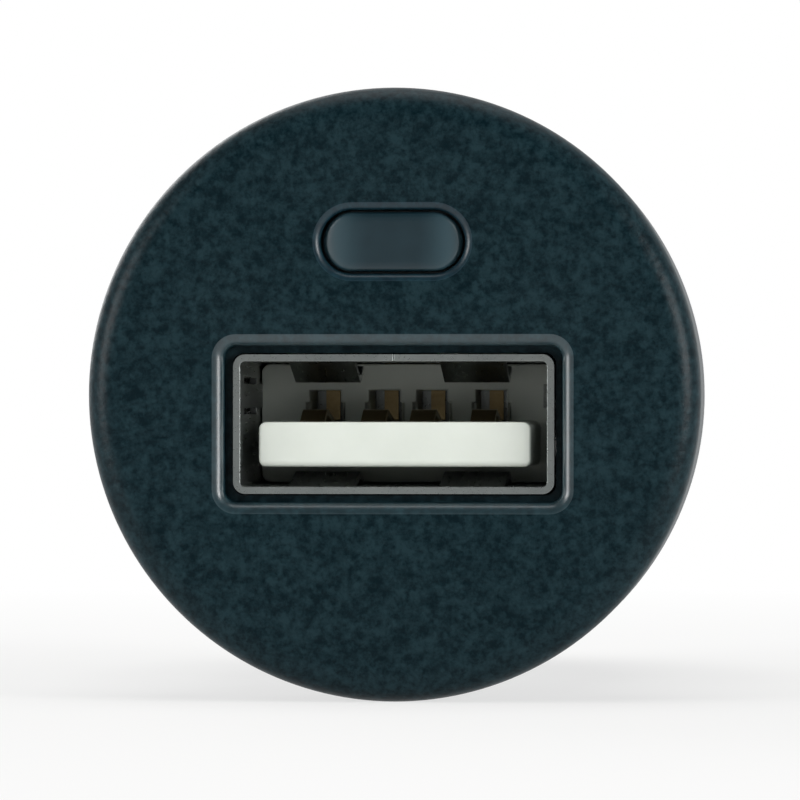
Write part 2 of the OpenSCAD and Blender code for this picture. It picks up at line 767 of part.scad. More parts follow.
module inductor_coil() {
  w = coil_wire;
  base = (drum_h - coil_turns * w) / 2;
  outer = drum_r - 0.5 - w / 2;
  color([0.72, 0.40, 0.20])
  translate([0, y_drum, board_top]) rotate_extrude() {
    translate([drum_r / 2 + fit, base]) square([outer - drum_r / 2 - fit, coil_turns * w]);
    for (i = [0:coil_turns - 1]) translate([outer, base + (i + 0.5) * w]) circle(w / 2);
  }
}

// Electrolytic capacitor that lies under the board, with its leads bent up into it
module electrolytic(x, len) {
  crimp = 0.4;
  translate([x, 0, can_z]) {
    lathe() difference() {
      union() {
        translate([0, y_can]) square([can_r, len - crimp]);
        translate([0, y_can]) square([can_r - crimp, len]);
        translate([can_r - crimp, y_can + len - crimp]) circle(crimp);
      }
      translate([can_r + crimp / 3, y_can + 1.4]) circle(crimp);
      translate([0, y_can + len - 0.1]) square([can_r - 2 * crimp, past]);
    }
    for (s = [-1, 1]) across_x(s * lead_pitch / 2, lead)
      bent([[y_can + lead, 0], [y_can_lead, 0], [y_can_lead, board_top - can_z - lead / 2]], lead);
  }
}

module input_capacitor() {
  color([0.20, 0.22, 0.30]) electrolytic(-can_x, can_in_len);
}

module output_capacitor() {
  color([0.20, 0.22, 0.30]) electrolytic(can_x, can_out_len);
}

// Chip part with a metal cap on each end, soldered flat to the board
module chip_part(len, w, h, body_color) {
  end_len = len * 0.2;
  skin = 0.04;
  color(body_color) translate([-len / 2 + skin, -w / 2 + skin, skin]) cube([len - 2 * skin, w - 2 * skin, h - 2 * skin]);
  color(tinned) for (s = [-1, 1]) translate([s * (len - end_len) / 2 - end_len / 2, -w / 2, 0]) cube([end_len, w, h]);
}

// Moulded diode whose two tabs fold under its ends
module rectifier_diode() {
  len = diode_size[1];
  h = diode_size[2];
  slope = 0.15;
  tab_t = 0.2;
  color([0.13, 0.13, 0.14])
  translate([diode_x, y_chip, board_top]) union() {
    across_x(0, diode_size[0]) polygon([
      [-len / 2 + slope, tab_t / 2], [len / 2 - slope, tab_t / 2], [len / 2, h / 2],
      [len / 2 - slope, h], [-len / 2 + slope, h], [-len / 2, h / 2]
    ]);
    for (s = [0, 1]) mirror([0, s, 0]) across_x(0, diode_size[0] / 2) bent([
      [len / 2 - tab_t, h / 2], [len / 2 + tab_t, h / 2], [len / 2 + tab_t, tab_t / 2], [len / 2 - 1, tab_t / 2]
    ], tab_t);
  }
}

module fuse() {
  translate([0, y_row, board_top]) chip_part(fuse_size[0], fuse_size[1], fuse_size[2], [0.85, 0.85, 0.80]);
}

module resistor(i) {
  at = resistor_at[i - 1];
  translate([at[0], at[1], board_top]) rotate([0, 0, 90])
    chip_part(chip_part_long, chip_part_wide, resistor_h, [0.12, 0.12, 0.13]);
}

module ceramic_capacitor(i) {
  at = ceramic_at[i - 1];
  translate([at[0], at[1], board_top]) rotate([0, 0, 90])
    chip_part(chip_part_long, chip_part_wide, ceramic_h, [0.60, 0.48, 0.34]);
}

face_cap();
indicator_lens();
barrel();
nose_ring();
tip_contact();
tip_spring();
spring_seat();
side_contact_left();
side_contact_right();
usb_shell();
usb_insulator();
for (i = [1:len(pin_x)]) usb_contact(i);
circuit_board();
indicator_led();
converter_chip();
inductor_core();
inductor_coil();
input_capacitor();
output_capacitor();
rectifier_diode();
fuse();
for (i = [1:len(resistor_at)]) resistor(i);
for (i = [1:len(ceramic_at)]) ceramic_capacitor(i);
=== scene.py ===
import math

import bmesh
import bpy
from mathutils import Matrix, Vector


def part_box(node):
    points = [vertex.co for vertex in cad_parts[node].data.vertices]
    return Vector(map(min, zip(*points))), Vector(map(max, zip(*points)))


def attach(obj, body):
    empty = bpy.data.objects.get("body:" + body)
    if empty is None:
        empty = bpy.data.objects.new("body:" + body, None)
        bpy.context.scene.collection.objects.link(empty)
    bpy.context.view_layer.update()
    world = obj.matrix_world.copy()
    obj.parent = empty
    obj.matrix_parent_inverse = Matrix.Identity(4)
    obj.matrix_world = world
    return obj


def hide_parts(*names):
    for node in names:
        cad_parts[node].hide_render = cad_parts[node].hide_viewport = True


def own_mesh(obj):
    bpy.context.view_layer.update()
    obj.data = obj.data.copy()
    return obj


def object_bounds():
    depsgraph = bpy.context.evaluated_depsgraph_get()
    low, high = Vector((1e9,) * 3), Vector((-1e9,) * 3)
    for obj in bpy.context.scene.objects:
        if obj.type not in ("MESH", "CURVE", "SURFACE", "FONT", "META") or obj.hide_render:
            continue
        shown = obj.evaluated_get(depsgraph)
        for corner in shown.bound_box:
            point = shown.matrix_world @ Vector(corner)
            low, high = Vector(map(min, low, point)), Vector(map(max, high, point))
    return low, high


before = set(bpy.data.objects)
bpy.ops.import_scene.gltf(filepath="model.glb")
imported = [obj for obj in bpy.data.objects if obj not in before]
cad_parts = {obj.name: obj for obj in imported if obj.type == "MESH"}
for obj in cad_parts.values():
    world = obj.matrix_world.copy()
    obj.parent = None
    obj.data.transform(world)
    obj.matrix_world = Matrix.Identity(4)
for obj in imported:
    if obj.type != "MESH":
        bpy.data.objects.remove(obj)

cad_low, cad_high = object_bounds()

# Face cap
# The front of the plug is a cup moulded in black ABS and snapped over the barrel's collar.
# Its tool was spark-eroded, which leaves a fine matt grain on the face and the edge, and the
# port and the indicator window are moulded through it with small rounded lips.

# Sizes are in millimetres, and each mesh is turned to metres when it is closed. Points closer
# than MERGE become one, edges off by less than SAME run straight, and NEAR finds an edge again.
MM = 0.001
TURN_STEPS = 192
MERGE = 0.0005
SAME = 0.001
NEAR = 0.01
FACE_ROUND = 1.15
SEAM_CHAMFER = 0.2
FACE_WALL = 1.6
SKIRT_R = 10.7
BEAD_Y = -4.0
BEAD_ROOM = 0.3
PLATE_MARGIN = 0.25
PLATE_STEP = 0.5
CORNER_SPARE = 0.004
PORT = {"width": 13.76, "height": 6.36, "corner": 0.5, "lip": 0.47, "z": -1.2}
PORT_LEDGE = {"width": 13.2, "height": 5.8, "depth": 0.5}
WINDOW = {"width": 5.9, "height": 2.6, "corner": 1.3, "lip": 0.3, "z": 6.2}

cap_low, cap_high = (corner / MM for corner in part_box("face_cap"))
HEAD_R = cap_high.x
FACE_Y = cap_low.y
SEAM_Y = cap_high.y
FACE_BACK_Y = FACE_Y + FACE_WALL
PLATE_R = HEAD_R - FACE_ROUND - PLATE_MARGIN
BACK_PLATE_R = PLATE_R - PLATE_STEP


def lathe(bm, profile, closed=False, steps=TURN_STEPS):
    # Turns a profile of (radius, place along the axis) once round the plug's axis
    verts = [bm.verts.new((radius, y, 0)) for radius, y in profile]
    pairs = list(zip(verts, verts[1:])) + ([(verts[-1], verts[0])] if closed else [])
    edges = [bm.edges.new(pair) for pair in pairs]
    bmesh.ops.spin(bm, geom=verts + edges, cent=(0, 0, 0), axis=(0, 1, 0),
                   angle=math.tau, steps=steps, use_merge=True)
    bmesh.ops.remove_doubles(bm, verts=bm.verts, dist=MERGE)


def turned_edges(bm, radius, y):
    # The circle of edges that a lathe left at this radius and place
    def lies_there(vert):
        return abs(math.hypot(vert.co.x, vert.co.z) - radius) < NEAR and abs(vert.co.y - y) < NEAR
    return [edge for edge in bm.edges if all(lies_there(vert) for vert in edge.verts)]


def round_edges(bm, edges, offset, segments):
    bmesh.ops.bevel(bm, geom=edges, offset=offset, offset_type="OFFSET", segments=segments,
                    profile=0.5, affect="EDGES", clamp_overlap=False, material=-1)


def outline(bm, width, height, corner, y, z, segments=10):
    # A closed loop of edges: a rectangle with round corners that looks at the face
    sheet = bmesh.ops.create_grid(bm, x_segments=1, y_segments=1, size=0.5)["verts"]
    bmesh.ops.scale(bm, vec=(width, height, 1), verts=sheet)
    upright = Matrix.Rotation(math.radians(90), 3, "X")
    bmesh.ops.rotate(bm, cent=(0, 0, 0), matrix=upright, verts=sheet)
    bmesh.ops.translate(bm, vec=(0, y, z), verts=sheet)
    corner = min(corner, min(width, height) / 2 - CORNER_SPARE)
    made = bmesh.ops.bevel(bm, geom=sheet, offset=corner, offset_type="OFFSET", segments=segments,
                           profile=0.5, affect="VERTICES", clamp_overlap=False, material=-1)
    face = made["verts"][0].link_faces[0]
    loop = list(face.edges)
    bmesh.ops.delete(bm, geom=[face], context="FACES_ONLY")
    return loop


def bridge(bm, loops):
    # Walls from each closed loop of edges to the next
    for near, far in zip(loops, loops[1:]):
        bmesh.ops.bridge_loops(bm, edges=near + far)


def drawn_out(bm, edges):
    # New edges joined to these ones by new faces, and the verts to move them by
    made = bmesh.ops.extrude_edge_only(bm, edges=edges)["geom"]
    verts = [item for item in made if isinstance(item, bmesh.types.BMVert)]
    new = [item for item in made
           if isinstance(item, bmesh.types.BMEdge) and all(vert in verts for vert in item.verts)]
    return new, verts


def lipped_opening(bm, width, height, corner, lip, z, lip_slot_painted_lighter, ledge=None, steps=8):
    # An opening through the face, from its rounded lip to the back of the wall. A ledge is a
    # smaller opening at the back, which centres what lies behind the face.
    loops = []
    for step in range(steps + 1):
        turn = math.pi / 2 * step / steps
        grow = lip * (1 - math.sin(turn))
        loops.append(outline(bm, width + 2 * grow, height + 2 * grow, corner + grow,
                             FACE_Y + lip * (1 - math.cos(turn)), z))
    back_y = FACE_BACK_Y - (ledge["depth"] if ledge else 0)
    loops.append(outline(bm, width, height, corner, back_y, z))
    before = set(bm.faces)
    bridge(bm, loops)
    for face in set(bm.faces) - before:
        # Painted highlight: the lip's faces take the lip material, which is coloured lighter than the cap.
        face.material_index = lip_slot_painted_lighter if face.calc_center_median().y < FACE_Y + lip else 0
    back = loops[-1]
    if ledge:
        narrower = (ledge["width"] / width, 1, ledge["height"] / height)
        for scale, slide in ((narrower, 0), ((1, 1, 1), ledge["depth"])):
            back, verts = drawn_out(bm, back)
            bmesh.ops.scale(bm, vec=scale, space=Matrix.Translation((0, 0, -z)), verts=verts)
            bmesh.ops.translate(bm, vec=(0, slide, 0), verts=verts)
    return loops[0], back


# The sockets that a Mix node uses for colours: its two inputs and its output
DARK = 6
LIGHT = 7
MIXED = 2


def linear(code):
    # Turns an sRGB hex colour into Blender's linear values
    parts = [int(code[at:at + 2], 16) / 255 for at in (1, 3, 5)]
    opened = [part / 12.92 if part <= 0.04045 else ((part + 0.055) / 1.055) ** 2.4 for part in parts]
    return opened + [1.0]


def add_node(tree, kind, inputs=None, **settings):
    # Adds a node, sets it up, and gives each input a value or the output it is linked to
    node = tree.nodes.new(kind)
    for key, value in settings.items():
        setattr(node, key, value)
    for key, value in (inputs or {}).items():
        if isinstance(value, bpy.types.NodeSocket):
            tree.links.new(value, node.inputs[key])
        else:
            node.inputs[key].default_value = value
    return node


def start_material(name, sockets):
    # A material with its shader's own sockets set, and the place on the plug to draw from
    material = bpy.data.materials.new(name)
    material.use_nodes = True
    tree = material.node_tree
    tree.nodes.clear()
    place = add_node(tree, "ShaderNodeTexCoord").outputs["Object"]
    shader = add_node(tree, "ShaderNodeBsdfPrincipled", sockets)
    add_node(tree, "ShaderNodeOutputMaterial", {"Surface": shader.outputs["BSDF"]})
    return material, tree, place, shader


def per_metre(size_mm):
    # The pattern scale at which one repeat is this many millimetres long
    return 1 / (size_mm * MM)


def make_piece(name, bm, body, materials, stands_for, crease=38, edge=0.0):
    # Closes a mesh made in millimetres, gives it its finish and ties it to the frame
    bmesh.ops.remove_doubles(bm, verts=bm.verts, dist=MERGE)
    bmesh.ops.recalc_face_normals(bm, faces=bm.faces)
    bmesh.ops.scale(bm, vec=(MM, MM, MM), verts=bm.verts)
    mesh = bpy.data.meshes.new(name)
    bm.to_mesh(mesh)
    bm.free()
    mesh.shade_smooth()
    for material in materials:
        mesh.materials.append(material)
    piece = bpy.data.objects.new(name, mesh)
    bpy.context.scene.collection.objects.link(piece)
    if edge:
        soft = piece.modifiers.new("moulded edges", "BEVEL")
        soft.width = edge * MM
        soft.segments = 2
        soft.limit_method = "ANGLE"
        soft.angle_limit = math.radians(crease)
        soft.harden_normals = True
    else:
        mesh.set_sharp_from_angle(angle=math.radians(crease))
    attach(piece, body)
    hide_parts(*stands_for)
    return piece


def moulded_abs(name, dark, light, shine, rough, pitting):
    # Black ABS as its tool left it: fine pits, as deep as the tool was eroded, and a blue-green
    # pigment that shows as faint mottling. Real pits are about 0.05 mm apart and are drawn at
    # 0.3 mm, so that they show. The mottling is drawn at about half a millimetre.
    material, tree, place, shader = start_material(name, {"IOR": 1.54, "Specular IOR Level": shine})
    blotch = add_node(tree, "ShaderNodeTexNoise",
                      {"Vector": place, "Scale": per_metre(0.6), "Detail": 6.0, "Roughness": 0.7})
    pits = add_node(tree, "ShaderNodeTexVoronoi",
                    {"Vector": place, "Scale": per_metre(0.32), "Smoothness": 0.6, "Randomness": 1.0},
                    feature="SMOOTH_F1")
    grit = add_node(tree, "ShaderNodeTexNoise",
                    {"Vector": place, "Scale": per_metre(0.28), "Detail": 3.0, "Roughness": 0.65})
    relief = add_node(tree, "ShaderNodeMath",
                      {0: pits.outputs["Distance"], 1: grit.outputs["Fac"]}, operation="ADD")
    mottle = add_node(tree, "ShaderNodeMath",
                      {0: blotch.outputs["Fac"], 1: grit.outputs["Fac"]}, operation="MULTIPLY")
    spread = add_node(tree, "ShaderNodeMapRange",
                      {"Value": mottle.outputs["Value"], "From Min": 0.16, "From Max": 0.36})
    tint = add_node(tree, "ShaderNodeMix",
                    {0: spread.outputs["Result"], DARK: linear(dark), LIGHT: linear(light)},
                    data_type="RGBA")
    wear = add_node(tree, "ShaderNodeMapRange",
                    {"Value": grit.outputs["Fac"], "To Min": rough[0], "To Max": rough[1]})
    bump = add_node(tree, "ShaderNodeBump",
                    {"Height": relief.outputs["Value"], "Strength": pitting, "Distance": 0.03 * MM})
    tree.links.new(tint.outputs[MIXED], shader.inputs["Base Color"])
    tree.links.new(wear.outputs["Result"], shader.inputs["Roughness"])
    tree.links.new(bump.outputs["Normal"], shader.inputs["Normal"])
    return material


# The cap's outside is spark-eroded, and its deep pits trap most of the shine. The port's lip is
# polished and the window's lip half polished, so they catch the lamps as thin bright lines. Both
# lips also get a lighter colour than the cap's own black, a painted highlight.
black_abs = moulded_abs("black ABS, spark-eroded", "#02161C", "#1B3036", 0.1, (0.3, 0.44), 0.35)
port_lip_abs_painted_lighter = moulded_abs("black ABS, polished, painted lighter", "#16292F", "#213A41", 0.7, (0.26, 0.38), 0.03)
window_lip_abs_painted_lighter = moulded_abs("black ABS, half polished, painted lighter", "#09202A", "#11303A", 0.4, (0.3, 0.4), 0.03)

cap = bmesh.new()
lathe(cap, [
    (PLATE_R, FACE_Y), (HEAD_R, FACE_Y), (HEAD_R, SEAM_Y), (SKIRT_R, SEAM_Y),
    (SKIRT_R, BEAD_Y + BEAD_ROOM), (SKIRT_R + BEAD_ROOM, BEAD_Y), (SKIRT_R, BEAD_Y - BEAD_ROOM),
    (SKIRT_R, FACE_BACK_Y), (BACK_PLATE_R, FACE_BACK_Y),
])
round_edges(cap, turned_edges(cap, HEAD_R, FACE_Y), FACE_ROUND, segments=12)
round_edges(cap, turned_edges(cap, HEAD_R, SEAM_Y), SEAM_CHAMFER, segments=1)
port_front, port_back = lipped_opening(cap, lip_slot_painted_lighter=1, ledge=PORT_LEDGE, **PORT)
window_front, window_back = lipped_opening(cap, lip_slot_painted_lighter=2, **WINDOW)
for rim, holes in (
    (turned_edges(cap, PLATE_R, FACE_Y), port_front + window_front),
    (turned_edges(cap, BACK_PLATE_R, FACE_BACK_Y), port_back + window_back),
):
    bmesh.ops.triangle_fill(cap, use_beauty=True, use_dissolve=False, edges=rim + holes,
                            normal=(0, -1, 0))
make_piece("moulded_face_cap", cap, "housing", [black_abs, port_lip_abs_painted_lighter, window_lip_abs_painted_lighter],
           ["face_cap"])

# Indicator lens
# A smoked polycarbonate light window, moulded as one bar with rolled edges and a flange that
# is trapped behind the face. The light-emitting diode stands right behind it.
LENS_W = 5.7
LENS_H = 2.4
LENS_Y = -7.88
LENS_ROLL = 0.2
LENS_ROLL_STEPS = 6
LENS_RINGS = (1.12, 1.0, 0.85, 0.7, 0.55, 0.42)
LENS_END_FALL = 0.3
LENS_FLAT_HALF = 1.2
LENS_PAINTED_HIGHLIGHT_FROM = 0.9
LENS_PAINTED_HIGHLIGHT_TO = 2.6
LENS_FLANGE = 0.55
LENS_FLANGE_T = 0.8

# Smoked polycarbonate: glassy and slightly see-through, with the faint haze of a thin
# moulding. Its body looks like dark slate until the diode lights it. Towards its thinner
# ends its colour is painted paler, a painted highlight for the lamps' glow on the ends.
smoke_lens, tree, place, shader = start_material(
    "smoked polycarbonate, moulded",
    {"IOR": 1.585, "Specular IOR Level": 0.35, "Transmission Weight": 0.2})
haze = add_node(tree, "ShaderNodeTexNoise",
                {"Vector": place, "Scale": per_metre(0.9), "Detail": 3.0, "Roughness": 0.5})
smoke = add_node(tree, "ShaderNodeMix",
                 {0: haze.outputs["Fac"], DARK: linear("#0E252D"), LIGHT: linear("#18323B")},
                 data_type="RGBA")
along = add_node(tree, "ShaderNodeSeparateXYZ", {"Vector": place})
from_middle = add_node(tree, "ShaderNodeMath", {0: along.outputs["X"]}, operation="ABSOLUTE")
# Painted highlight: the lens' colour turns paler towards both of its ends.
painted_highlight_ramp = add_node(tree, "ShaderNodeMapRange",
                    {"Value": from_middle.outputs["Value"],
                     "From Min": LENS_PAINTED_HIGHLIGHT_FROM * MM, "From Max": LENS_PAINTED_HIGHLIGHT_TO * MM},
                    interpolation_type="SMOOTHSTEP")
painted_highlight_ends = add_node(tree, "ShaderNodeMix",
                     {0: painted_highlight_ramp.outputs["Result"], DARK: smoke.outputs[MIXED], LIGHT: linear("#314B54")},
                     data_type="RGBA")
sheen = add_node(tree, "ShaderNodeMapRange",
                 {"Value": haze.outputs["Fac"], "To Min": 0.28, "To Max": 0.38})
tree.links.new(painted_highlight_ends.outputs[MIXED], shader.inputs["Base Color"])
tree.links.new(sheen.outputs["Result"], shader.inputs["Roughness"])


def lens_ring(bm, inset, y):
    # The lens' outline at one depth, this far in from its side, or out where it is less than 0
    return outline(bm, LENS_W - 2 * inset, LENS_H - 2 * inset, LENS_H / 2 - inset, y, WINDOW["z"])


lens = bmesh.new()
loops = [lens_ring(lens, inset, LENS_Y) for inset in LENS_RINGS]
for step in range(LENS_ROLL_STEPS + 1):
    turn = math.pi / 2 * step / LENS_ROLL_STEPS
    inset = LENS_ROLL * (1 - math.sin(turn))
    loops.append(lens_ring(lens, inset, LENS_Y + LENS_ROLL * (1 - math.cos(turn))))
for vert in lens.verts:
    past_flat = max(0, abs(vert.co.x) - LENS_FLAT_HALF) / (LENS_W / 2 - LENS_FLAT_HALF)
    vert.co.y += LENS_END_FALL * past_flat ** 2
loops.append(lens_ring(lens, 0, FACE_BACK_Y))
for y in (FACE_BACK_Y, FACE_BACK_Y + LENS_FLANGE_T):
    loops.append(lens_ring(lens, -LENS_FLANGE, y))
bridge(lens, loops)
for loop in (loops[0], loops[-1]):
    bmesh.ops.edgeloop_fill(lens, edges=loop)
make_piece("smoked_indicator_lens", lens, "housing", [smoke_lens], ["indicator_lens"])

# Receptacle shell
# The shell of the USB-A receptacle is folded from tin-plated steel sheet, with its seam on
# top. Spring fingers are lanced out of all four walls and bent inwards to grip a plug, and
# two legs are soldered into the board.
SHELL_W = 13.1
SHELL_H = 5.7
SHELL_CORNER = 0.5
SHEET_T = 0.3
MOUTH_Y = -7.4
SHELL_END_Y = 6.6
PORT_Z = PORT["z"]
FINGER_X = 3.1
FINGER_W = 2.7
FINGER_LEN = 5.4
FINGER_GAP = 0.25
FINGER_HINGE = 0.9
FINGER_LIFT = 0.12
FINGER_CREST = 0.72
FINGER_BEND = 0.35
FINGER_ROOT_Y = -5.68
FINGER_REACH = {"top": 0.9, "low": 0.6, "side": 0.42}
SIDE_FINGER_Z = -0.05
SIDE_FINGER_W = 1.0
SEAM_W = 0.04
LEG_Y = -3.0
LEG_W = 1.6
LEG_TOP_Z = 3.4
LEG_LAP = 0.9
SHELL_BACK_DROP = 1
SHELL_BACK_GAP = 0.01


def stock(bm):
    # A loose object for a mesh that a modifier works on, gone again when it is done
    bmesh.ops.remove_doubles(bm, verts=bm.verts, dist=MERGE)
    bmesh.ops.recalc_face_normals(bm, faces=bm.faces)
    mesh = bpy.data.meshes.new("stock")
    bm.to_mesh(mesh)
    bm.free()
    held = bpy.data.objects.new("stock", mesh)
    bpy.context.scene.collection.objects.link(held)
    return held


def worked(bm, kind, tool=None, **settings):
    # The mesh once one modifier has worked on it, such as a wall given or a form cut away
    held = [stock(form) for form in (bm, tool) if form]
    modifier = held[0].modifiers.new("work", kind)
    for key, value in settings.items():
        setattr(modifier, key, value)
    if tool:
        modifier.object = held[1]
        modifier.solver = "EXACT"
    done = bmesh.new()
    done.from_object(held[0], bpy.context.evaluated_depsgraph_get())
    for left in held:
        mesh = left.data
        bpy.data.objects.remove(left)
        bpy.data.meshes.remove(mesh)
    return done


def block(bm, x, y, z):
    # A box between three pairs of limits
    made = bmesh.ops.create_cube(bm, size=1)["verts"]
    sizes = [limits[1] - limits[0] for limits in (x, y, z)]
    bmesh.ops.scale(bm, vec=sizes, verts=made)
    bmesh.ops.translate(bm, vec=[sum(limits) / 2 for limits in (x, y, z)], verts=made)


def edges_along(bm, axis):
    # The straight edges that run along one axis
    across = [other for other in range(3) if other != axis]
    return [edge for edge in bm.edges
            if all(abs(edge.verts[0].co[other] - edge.verts[1].co[other]) < SAME for other in across)]


def slice_at(bm, axis, values):
    # Cuts straight across one axis at each value, which leaves new edges there
    for value in values:
        point, normal = Vector(), Vector()
        point[axis], normal[axis] = value, 1
        bmesh.ops.bisect_plane(bm, geom=bm.verts[:] + bm.edges[:] + bm.faces[:], dist=MERGE,
                               plane_co=point, plane_no=normal)


# Tin-plated steel sheet: a soft grey shine with rolling lines along the sheet, dulled in
# patches where the tin has flowed. The real lines are too fine to show and are drawn at 0.12 mm.
shell_steel, tree, place, shader = start_material(
    "tin-plated steel, rolled", {"Metallic": 1.0, "Anisotropic": 0.25})
stretch = add_node(tree, "ShaderNodeMapping", {"Vector": place, "Scale": (1.0, 0.06, 1.0)})
lines = add_node(tree, "ShaderNodeTexNoise",
                 {"Vector": stretch.outputs["Vector"], "Scale": per_metre(0.12), "Detail": 4.0})
cloud = add_node(tree, "ShaderNodeTexNoise", {"Vector": place, "Scale": per_metre(2.2), "Detail": 3.0})
tin = add_node(tree, "ShaderNodeMix",
               {0: cloud.outputs["Fac"], DARK: linear("#7D8382"), LIGHT: linear("#9EA3A1")},
               data_type="RGBA")
dull = add_node(tree, "ShaderNodeMapRange", {"Value": lines.outputs["Fac"], "To Min": 0.2, "To Max": 0.4})
bump = add_node(tree, "ShaderNodeBump",
                {"Height": lines.outputs["Fac"], "Strength": 0.1, "Distance": 0.01 * MM})
tree.links.new(tin.outputs[MIXED], shader.inputs["Base Color"])
tree.links.new(dull.outputs["Result"], shader.inputs["Roughness"])
tree.links.new(bump.outputs["Normal"], shader.inputs["Normal"])

shell = bmesh.new()
ends = [outline(shell, SHELL_W, SHELL_H, SHELL_CORNER, y, PORT_Z) for y in (MOUTH_Y, SHELL_END_Y)]
bridge(shell, ends)
lance_end_y = FINGER_ROOT_Y + FINGER_LEN + FINGER_GAP


def finger_lines(width):
    # How far a finger's two sides, and the two sides of the gap round it, lie from its middle
    return (-width / 2 - FINGER_GAP, -width / 2, width / 2, width / 2 + FINGER_GAP)


slice_at(shell, 1, (FINGER_ROOT_Y, lance_end_y))
slice_at(shell, 0, [side * (FINGER_X + off) for side in (-1, 1) for off in finger_lines(FINGER_W)])
slice_at(shell, 0, (-SEAM_W / 2, SEAM_W / 2))
slice_at(shell, 2, [SIDE_FINGER_Z + off for off in finger_lines(SIDE_FINGER_W)])
lanced = []
for face in shell.faces:
    middle = face.calc_center_median()
    in_length = FINGER_ROOT_Y < middle.y < lance_end_y
    flat_wall = abs(abs(middle.z - PORT_Z) - SHELL_H / 2) < NEAR
    side_wall = abs(abs(middle.x) - SHELL_W / 2) < NEAR
    under_finger = flat_wall and abs(abs(middle.x) - FINGER_X) < FINGER_W / 2 + FINGER_GAP
    beside_finger = side_wall and abs(middle.z - SIDE_FINGER_Z) < SIDE_FINGER_W / 2 + FINGER_GAP
    in_seam = flat_wall and middle.z > PORT_Z and abs(middle.x) < SEAM_W / 2
    if in_seam or in_length and (under_finger or beside_finger):
        lanced.append(face)
bmesh.ops.delete(shell, geom=lanced, context="FACES")


def bend_finger(bm, root, inwards, reach):
    # Draws a lanced finger out of the wall: in towards the plug, then a short way back out
    strip = root
    bends = []
    crest = FINGER_LEN * FINGER_CREST
    for along, depth in (
        (FINGER_HINGE, FINGER_LIFT),
        (crest - FINGER_HINGE, reach - FINGER_LIFT),
        (FINGER_LEN - crest, -reach / 2),
    ):
        strip, verts = drawn_out(bm, strip)
        bmesh.ops.translate(bm, vec=Vector((0, along, 0)) + inwards * depth, verts=verts)
        bends += strip
    round_edges(bm, bends[:-len(strip)], FINGER_BEND, segments=4)


def root_edges(bm, fits):
    # The edges at the fingers' root whose middle passes the test
    found = []
    for edge in bm.edges:
        middle = (edge.verts[0].co + edge.verts[1].co) / 2
        if all(abs(vert.co.y - FINGER_ROOT_Y) < SAME for vert in edge.verts) and fits(middle):
            found.append(edge)
    return found


for side in (-1, 1):
    for level, wall in (("top", 1), ("low", -1)):
        root = root_edges(shell, lambda at: abs(at.x - side * FINGER_X) < FINGER_W / 2
                          and abs(at.z - PORT_Z - wall * SHELL_H / 2) < NEAR)
        bend_finger(shell, root, Vector((0, 0, -wall)), FINGER_REACH[level])
    root = root_edges(shell, lambda at: abs(at.x - side * SHELL_W / 2) < NEAR
                      and abs(at.z - SIDE_FINGER_Z) < SIDE_FINGER_W / 2)
    bend_finger(shell, root, Vector((-side, 0, 0)), FINGER_REACH["side"])
shell = worked(shell, "SOLIDIFY", thickness=SHEET_T, offset=-1, use_even_offset=True)
block(shell, (-SHELL_W / 2 + SHEET_T, SHELL_W / 2 - SHEET_T),
      (SHELL_END_Y - SHEET_T, SHELL_END_Y - SHELL_BACK_GAP),
      (PORT_Z - SHELL_H / 2 + SHEET_T, PORT_Z + SHELL_H / 2 - SHELL_BACK_DROP))
for side in (-1, 1):
    leg_x = sorted((side * SHELL_W / 2, side * (SHELL_W / 2 - SHEET_T)))
    leg_y = (LEG_Y - LEG_W / 2, LEG_Y + LEG_W / 2)
    block(shell, leg_x, leg_y, (PORT_Z + SHELL_H / 2 - LEG_LAP, LEG_TOP_Z))
make_piece("folded_shell", shell, "housing", [shell_steel], ["usb_shell"], edge=0.02)

# Insulator
# One moulding of white PBT carries the tongue and closes the back of the shell. Its four
# contacts lie in slots along the tongue, which open into stepped pockets in the back wall.
TONGUE = {"x": (-5.55, 5.55), "y": (-6.7, 2.0), "z": (-2.95, -1.11)}
TONGUE_ROUND = 0.3
BACK_BLOCK = {"x": (-6.2, 6.2), "y": (1.5, 5.475), "z": (-3.7, 1.3)}
BACK_ROUND = 0.4
PIN_X = (-3.5, -1.0, 1.0, 3.5)
PIN_SLOT = {"half": 0.65, "y": (-6.2, 9.0), "z": (-1.41, 0.19)}
PIN_POCKET = {"half": 0.8, "y": (1.0, 2.5), "z": (-1.11, -0.33)}

# White PBT, moulded: a dense, slightly cool white with a satin skin, and a trace of flow
# marks along the tongue. The skin's grain is drawn at 0.15 mm, coarser than it is.
white_pbt, tree, place, shader = start_material(
    "white PBT, moulded",
    {"IOR": 1.57, "Subsurface Weight": 0.08, "Subsurface Radius": (0.0006, 0.0006, 0.0005)})
flow = add_node(tree, "ShaderNodeTexNoise", {"Vector": place, "Scale": per_metre(1.6), "Detail": 4.0})
satin = add_node(tree, "ShaderNodeTexNoise", {"Vector": place, "Scale": per_metre(0.15), "Detail": 2.0})
pbt = add_node(tree, "ShaderNodeMix",
               {0: flow.outputs["Fac"], DARK: linear("#DDE3DA"), LIGHT: linear("#E9EEE6")},
               data_type="RGBA")
skin = add_node(tree, "ShaderNodeMapRange",
                {"Value": satin.outputs["Fac"], "To Min": 0.36, "To Max": 0.5})
bump = add_node(tree, "ShaderNodeBump",
                {"Height": satin.outputs["Fac"], "Strength": 0.15, "Distance": 0.01 * MM})
tree.links.new(pbt.outputs[MIXED], shader.inputs["Base Color"])
tree.links.new(skin.outputs["Result"], shader.inputs["Roughness"])
tree.links.new(bump.outputs["Normal"], shader.inputs["Normal"])

